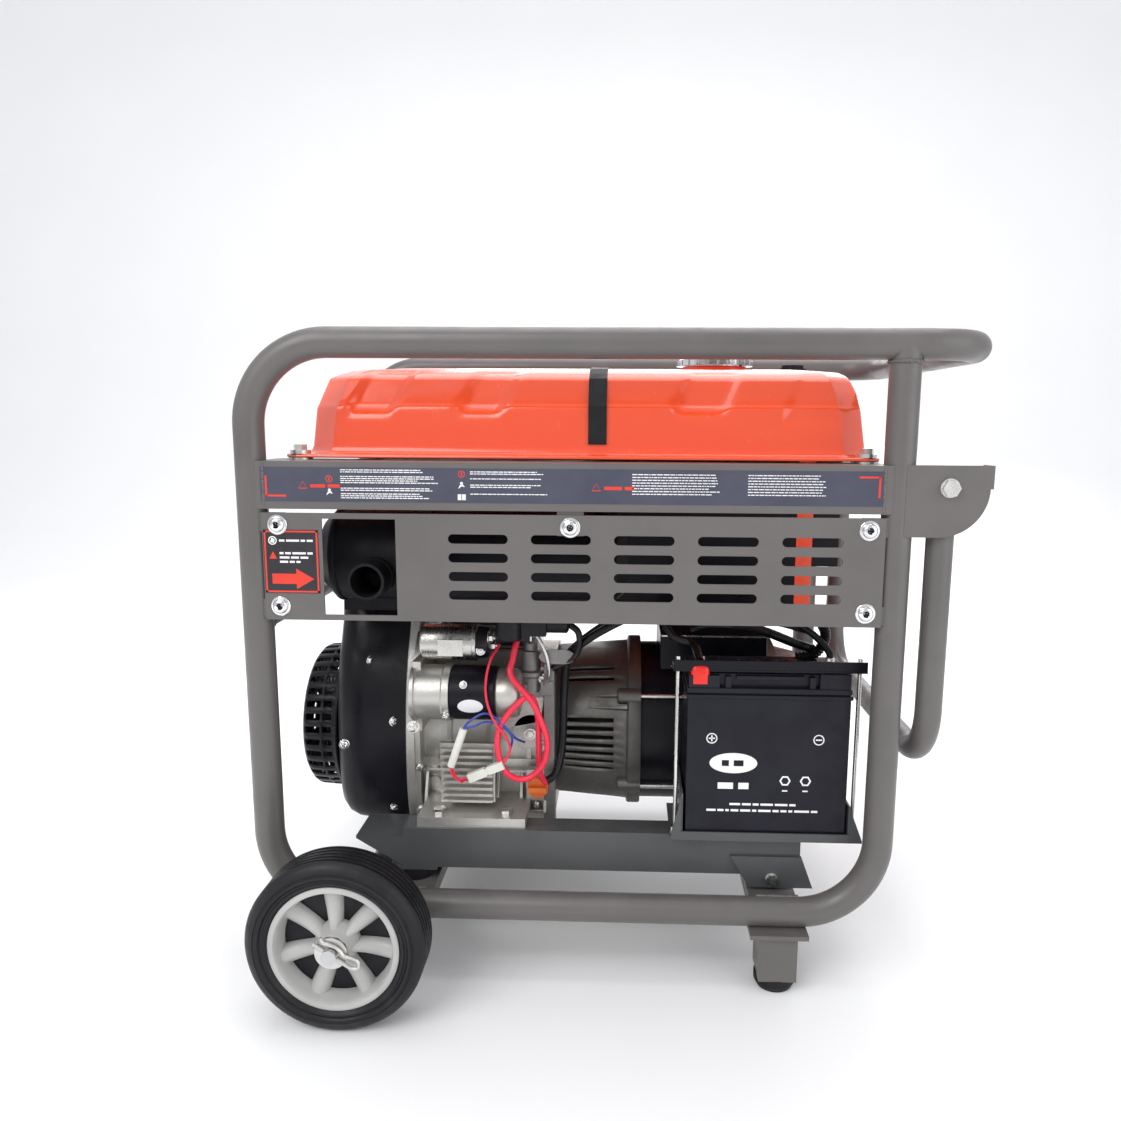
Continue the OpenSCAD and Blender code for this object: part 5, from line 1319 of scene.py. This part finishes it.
makeControlBox(panel)
makeJunction(junction)
print("control box made")


# far side: dials, sockets and printed plates on the control box
def ringBack(shape, c, outer, inner, thick, steps=40):
    # a flat ring that stands out toward +Y
    return shape.lathe([(0, inner), (0, outer), (thick, outer), (thick, inner)], c, 1, steps,
                       closed=inner > 0.1)


dials = {"meterFace": 208.0, "postFace": 213.2, "postFoot": 202, "sleeveFoot": 190,
         "outletFace": 209.2, "outletBack": 200, "ticks": 11,
         "plates": [((-3, 364), (122, 424)), ((1, 436), (157, 540)), ((172, 500), (206, 540))],
         "knob": (189, 403.5), "key": (241, 403.5), "rocker": (235, 486.5), "lamp": (189, 517.5),
         "outlets": [(39, 471.5), (119, 471.5)], "posts": [(25, 391.5), (91, 391.5)]}


def makeDials(d):
    y = edges("control_box")[1].y
    face = d["meterFace"]
    rng = random.Random(31)
    plates = Shape()
    for (x0, z0), (x1, z1) in d["plates"]:
        plates.box((x0, y - 0.2, z0), (x1, y + 0.5, z1))
    kx, kz = d["knob"]
    ringBack(plates, (kx, y - 0.2, kz), 33, 8, 0.45, 64)
    ringBack(plates, (d["key"][0], y - 0.2, d["key"][1]), 16, 8, 0.45, 48)
    framePiece("controlPlates", plates, "stickerSlate")
    bars = []
    for (x0, z0), (x1, z1) in d["plates"]:
        bars += [(((x0 + x1) / 2, z), (x1 - x0 - 4, 0.7)) for z in (z0 + 2, z1 - 2)]
        bars += [((x, (z0 + z1) / 2), (0.7, z1 - z0 - 4)) for x in (x0 + 2, x1 - 2)]
    for x, z in d["posts"]:
        bars += dashes(x - 14, x + 16, z + 26, 2.2, rng)
    for x, z in d["outlets"]:
        bars += dashes(x - 20, x + 22, z - 32.5, 2.0, rng)
    for x0, x1, z in ((12, 74, 535), (100, 148, 535), (178, 202, 504)):
        bars += dashes(x0, x1, z, 1.6, rng)
    printOn("controlMarks", bars, y + 0.62, "print")
    rings = Shape()
    for k in range(d["ticks"]):
        a = math.radians(225 - 27 * k)
        rows = []
        for r in (26.0, 31.5):
            w = 0.5 + 0.06 * k
            cx, cz = kx - r * math.cos(a), kz + r * math.sin(a)
            rows.append([(cx - w * math.sin(a), y + q, cz - w * math.cos(a)) for q in (0.2, 0.4)] +
                        [(cx + w * math.sin(a), y + q, cz + w * math.cos(a)) for q in (0.4, 0.2)])
        rings.rows(rows)
    framePiece("dialTicks", rings, "print")
    faces = Shape().box((12, face - 0.7, 507), (72, face, 529))
    faces.box((103, face - 0.7, 510), (145, face, 526))
    framePiece("meterFaces", faces, "whitePlastic", bevel=0.3)
    scale = []
    for k in range(13):
        a = math.radians(150 - 10 * k)
        scale.append(((42 - 17 * math.cos(a), 509 + 17 * math.sin(a)), (0.6, 2.6 if k % 3 else 4.0)))
    for k in range(5):
        scale.append(((108 + k * 8, 518), (5.6, 9)))
    printOn("meterMarks", scale, face + ink, "stickerSlate")
    needle = Shape().prism([(41.4, 509), (42.6, 509), (35.6, 525.4), (35.1, 525.2)], face, face + 0.5)
    framePiece("meterNeedle", needle, "printRed")
    post = Shape()
    for x, z in d["posts"]:
        ringBack(post, (x, d["postFace"], z), 18.5, 12.5, 1.1)
        ringBack(post, (x, d["postFoot"], z), 24, 20, 3)
    framePiece("terminalRings", post, "redPlastic", bevel=0.3)
    sleeve = Shape()
    for x, z in d["posts"]:
        ringBack(sleeve, (x, d["sleeveFoot"], z), 10.5, 7.2, 23.8)
    framePiece("terminalSleeves", sleeve, "zinc")
    outlet, pins = Shape(), Shape()
    for x, z in d["outlets"]:
        ringBack(outlet, (x, d["outletFace"], z), 27.5, 21.5, 1.6)
        ringBack(outlet, (x, d["outletBack"], z), 19.6, dot, 2.4)
        outlet.box((x - 9, 204, z + 24), (x + 9, 212.6, z + 33))
        outlet.lathe([(0, dot), (0, 3.2), (20, 3.2), (20, dot)], (x - 10, 210.5, z + 31), 0, 16)
        for a in (90, 210, 330):
            t = math.radians(a)
            ringBack(pins, (x + 10 * math.cos(t), 202.2, z + 10 * math.sin(t)), 3.1, dot, 1.0, 16)
    framePiece("outletCollars", outlet, "blackPlastic", bevel=0.4)
    framePiece("outletPins", pins, "zinc")
    lx, lz = d["lamp"]
    lamp = Shape().lathe([(0, 6.4), (1.5, 6.2), (3.4, 4.6), (4.6, 2.2), (4.9, dot)],
                         (lx, face + 0.5, lz), 1, 28)
    framePiece("chargeLamp", lamp, "orangePlastic")
    rx, rz = d["rocker"]
    bezel = Shape()
    for a, c in (((-11, -17), (11, -14)), ((-11, 14), (11, 17)), ((-11, -14), (-7.5, 14)),
                 ((7.5, -14), (11, 14))):
        bezel.box((rx + a[0], y - 0.2, rz + a[1]), (rx + c[0], y + 2.0, rz + c[1]))
    framePiece("breakerBezel", bezel, "blackPlastic", bevel=0.3)
    line = Shape().box((kx - 1, 221.4, kz + 2), (kx + 1, 221.9, kz + 15))
    newPiece("knobLine", line, "print", "weld_current", "black_plastic")


makeDials(dials)

# far side: air cleaner, exhaust bands, covers and bolts
cleaner = {"axis": (-163, 140), "base": 404}


def makeCleaner(c):
    x, y = c["axis"]
    body = Shape().lathe([(0, dot), (0, 44), (3, 47), (9, 47.5), (11, 50), (16, 50), (18, 47.5),
                          (62, 47.5), (64, 50), (71, 50), (73, 48.6), (88, 48), (94, 45.5), (98, 39),
                          (99.6, 20), (99.6, dot)], (x, y, c["base"]), 2, 96)
    for k in range(28):
        a = 2 * math.pi * k / 28
        p, q = math.cos(a), math.sin(a)
        body.rows([[(x + r * p - w * q, y + r * q + w * p, c["base"] + z)
                    for r, w in ((46, -1.1), (48.9, -0.7), (48.9, 0.7), (46, 1.1))]
                   for z in (22, 58)])
    body.lathe([(0, dot), (0, 19.5), (36, 19.5), (36, dot)], (x, 76, c["base"] + 26), 1, 40)
    body.lathe([(2, 19), (2, 21.5), (8, 21.5), (8, 19)], (x, 76, c["base"] + 26), 1, 40, closed=True)
    framePiece("airCleanerShell", body, "blackPlastic", ["air_cleaner"], crease=38)
    nut = Shape().lathe([(0, dot), (0, 8), (2, 8), (2, 5), (7, 5), (7, dot)], (x, y, c["base"] + 99), 2, 24)
    for s in (-1, 1):
        nut.prism([(x + s * 3, c["base"] + 102), (x + s * 12, c["base"] + 104),
                   (x + s * 14, c["base"] + 108.5), (x + s * 9, c["base"] + 108),
                   (x + s * 3, c["base"] + 105.5)], y - 1.2, y + 1.2)
    framePiece("airCleanerNut", nut, "zinc", bevel=0.4)
    clips = Shape()
    for a in (35, 155, 275):
        t = math.radians(a)
        p, q = math.cos(t), math.sin(t)
        clips.rows([[(x + (r + d) * p - w * q, y + (r + d) * q + w * p, c["base"] + z)
                     for d, w in ((0, -5), (1.4, -5), (1.4, 5), (0, 5))]
                    for z, r in ((52, 48), (60, 50.4), (75, 50.4), (79, 48.4))])
    framePiece("airCleanerClips", clips, "zinc", bevel=0.3)


makeCleaner(cleaner)

muffler = {"axis": (-124, 474), "left": -330, "bands": (12, 120, 234, 330)}
engineAxis = (14, 230)


def makeFarCovers(m):
    low = edges("crankcase")[0]
    right = edges("rear_bell")[1].x
    bolts = [((x, 60 - 92 * s, 493.6), upward, 0.7) for x in (-207, -119) for s in (0, 1)]
    axisY, axisZ = engineAxis
    for k in range(6):
        a = math.radians(30 + 60 * k)
        bolts.append(((right + 0.2, axisY + 80 * math.cos(a), axisZ + 80 * math.sin(a)), rightward, 0.6))
    newFixings("coverBolts", hexShape(across=12, tall=5, thread=0), bolts)
    shield = Shape().box((low.x - 88, -101, 402), (low.x - 4, -99.5, 532))
    shield.box((low.x - 88, -101, 400), (low.x - 4, -60, 402))
    framePiece("mufflerShield", shield, "sootBlack", bevel=0.4)
    bands = Shape()
    for x in m["bands"]:
        bands.lathe([(0, 52.6), (0, 55.2), (1.2, 55.8), (4.8, 55.8), (6, 55.2), (6, 52.6)],
                    (m["left"] + x, *m["axis"]), 0, 64, closed=True)
    framePiece("mufflerBands", bands, "sootBlack", crease=40)
    cap = Shape().lathe([(0, dot), (0, 34), (2.4, 34), (4.2, 31), (4.2, dot)],
                        (right - 1, axisY, axisZ), 0, 56)
    framePiece("rearBearingCap", cap, "black", bevel=0.5)


makeFarCovers(muffler)
print("far side made")


# floor and backdrop
def makeBackdrop(depth, rise, bend):
    # a pale floor that curves up into a wall behind
    profile = [(-6.0, 0.0)] + [(depth - bend + bend * math.sin(a), bend - bend * math.cos(a))
                               for a in np.linspace(0, math.pi / 2, 18)] + [(depth, rise)]
    verts = [(x, y, z - 0.0004) for y, z in profile for x in (-9, 9)]
    faces = [(2 * i, 2 * i + 1, 2 * i + 3, 2 * i + 2) for i in range(len(profile) - 1)]
    mesh = bpy.data.meshes.new("floor")
    mesh.from_pydata(verts, [], faces)
    mesh.shade_smooth()
    o = bpy.data.objects.new("floor", mesh)
    bpy.context.scene.collection.objects.link(o)
    p = Paint("paleFloor")
    mesh.materials.append(p.finish(Base_Color=p.blend(p.noise(3, 2), (0.92, 0.92, 0.925),
                                                      (0.89, 0.89, 0.895)),
                                   Roughness=0.7))


makeBackdrop(3.2, 4.0, 1.2)
print("pieces finished")
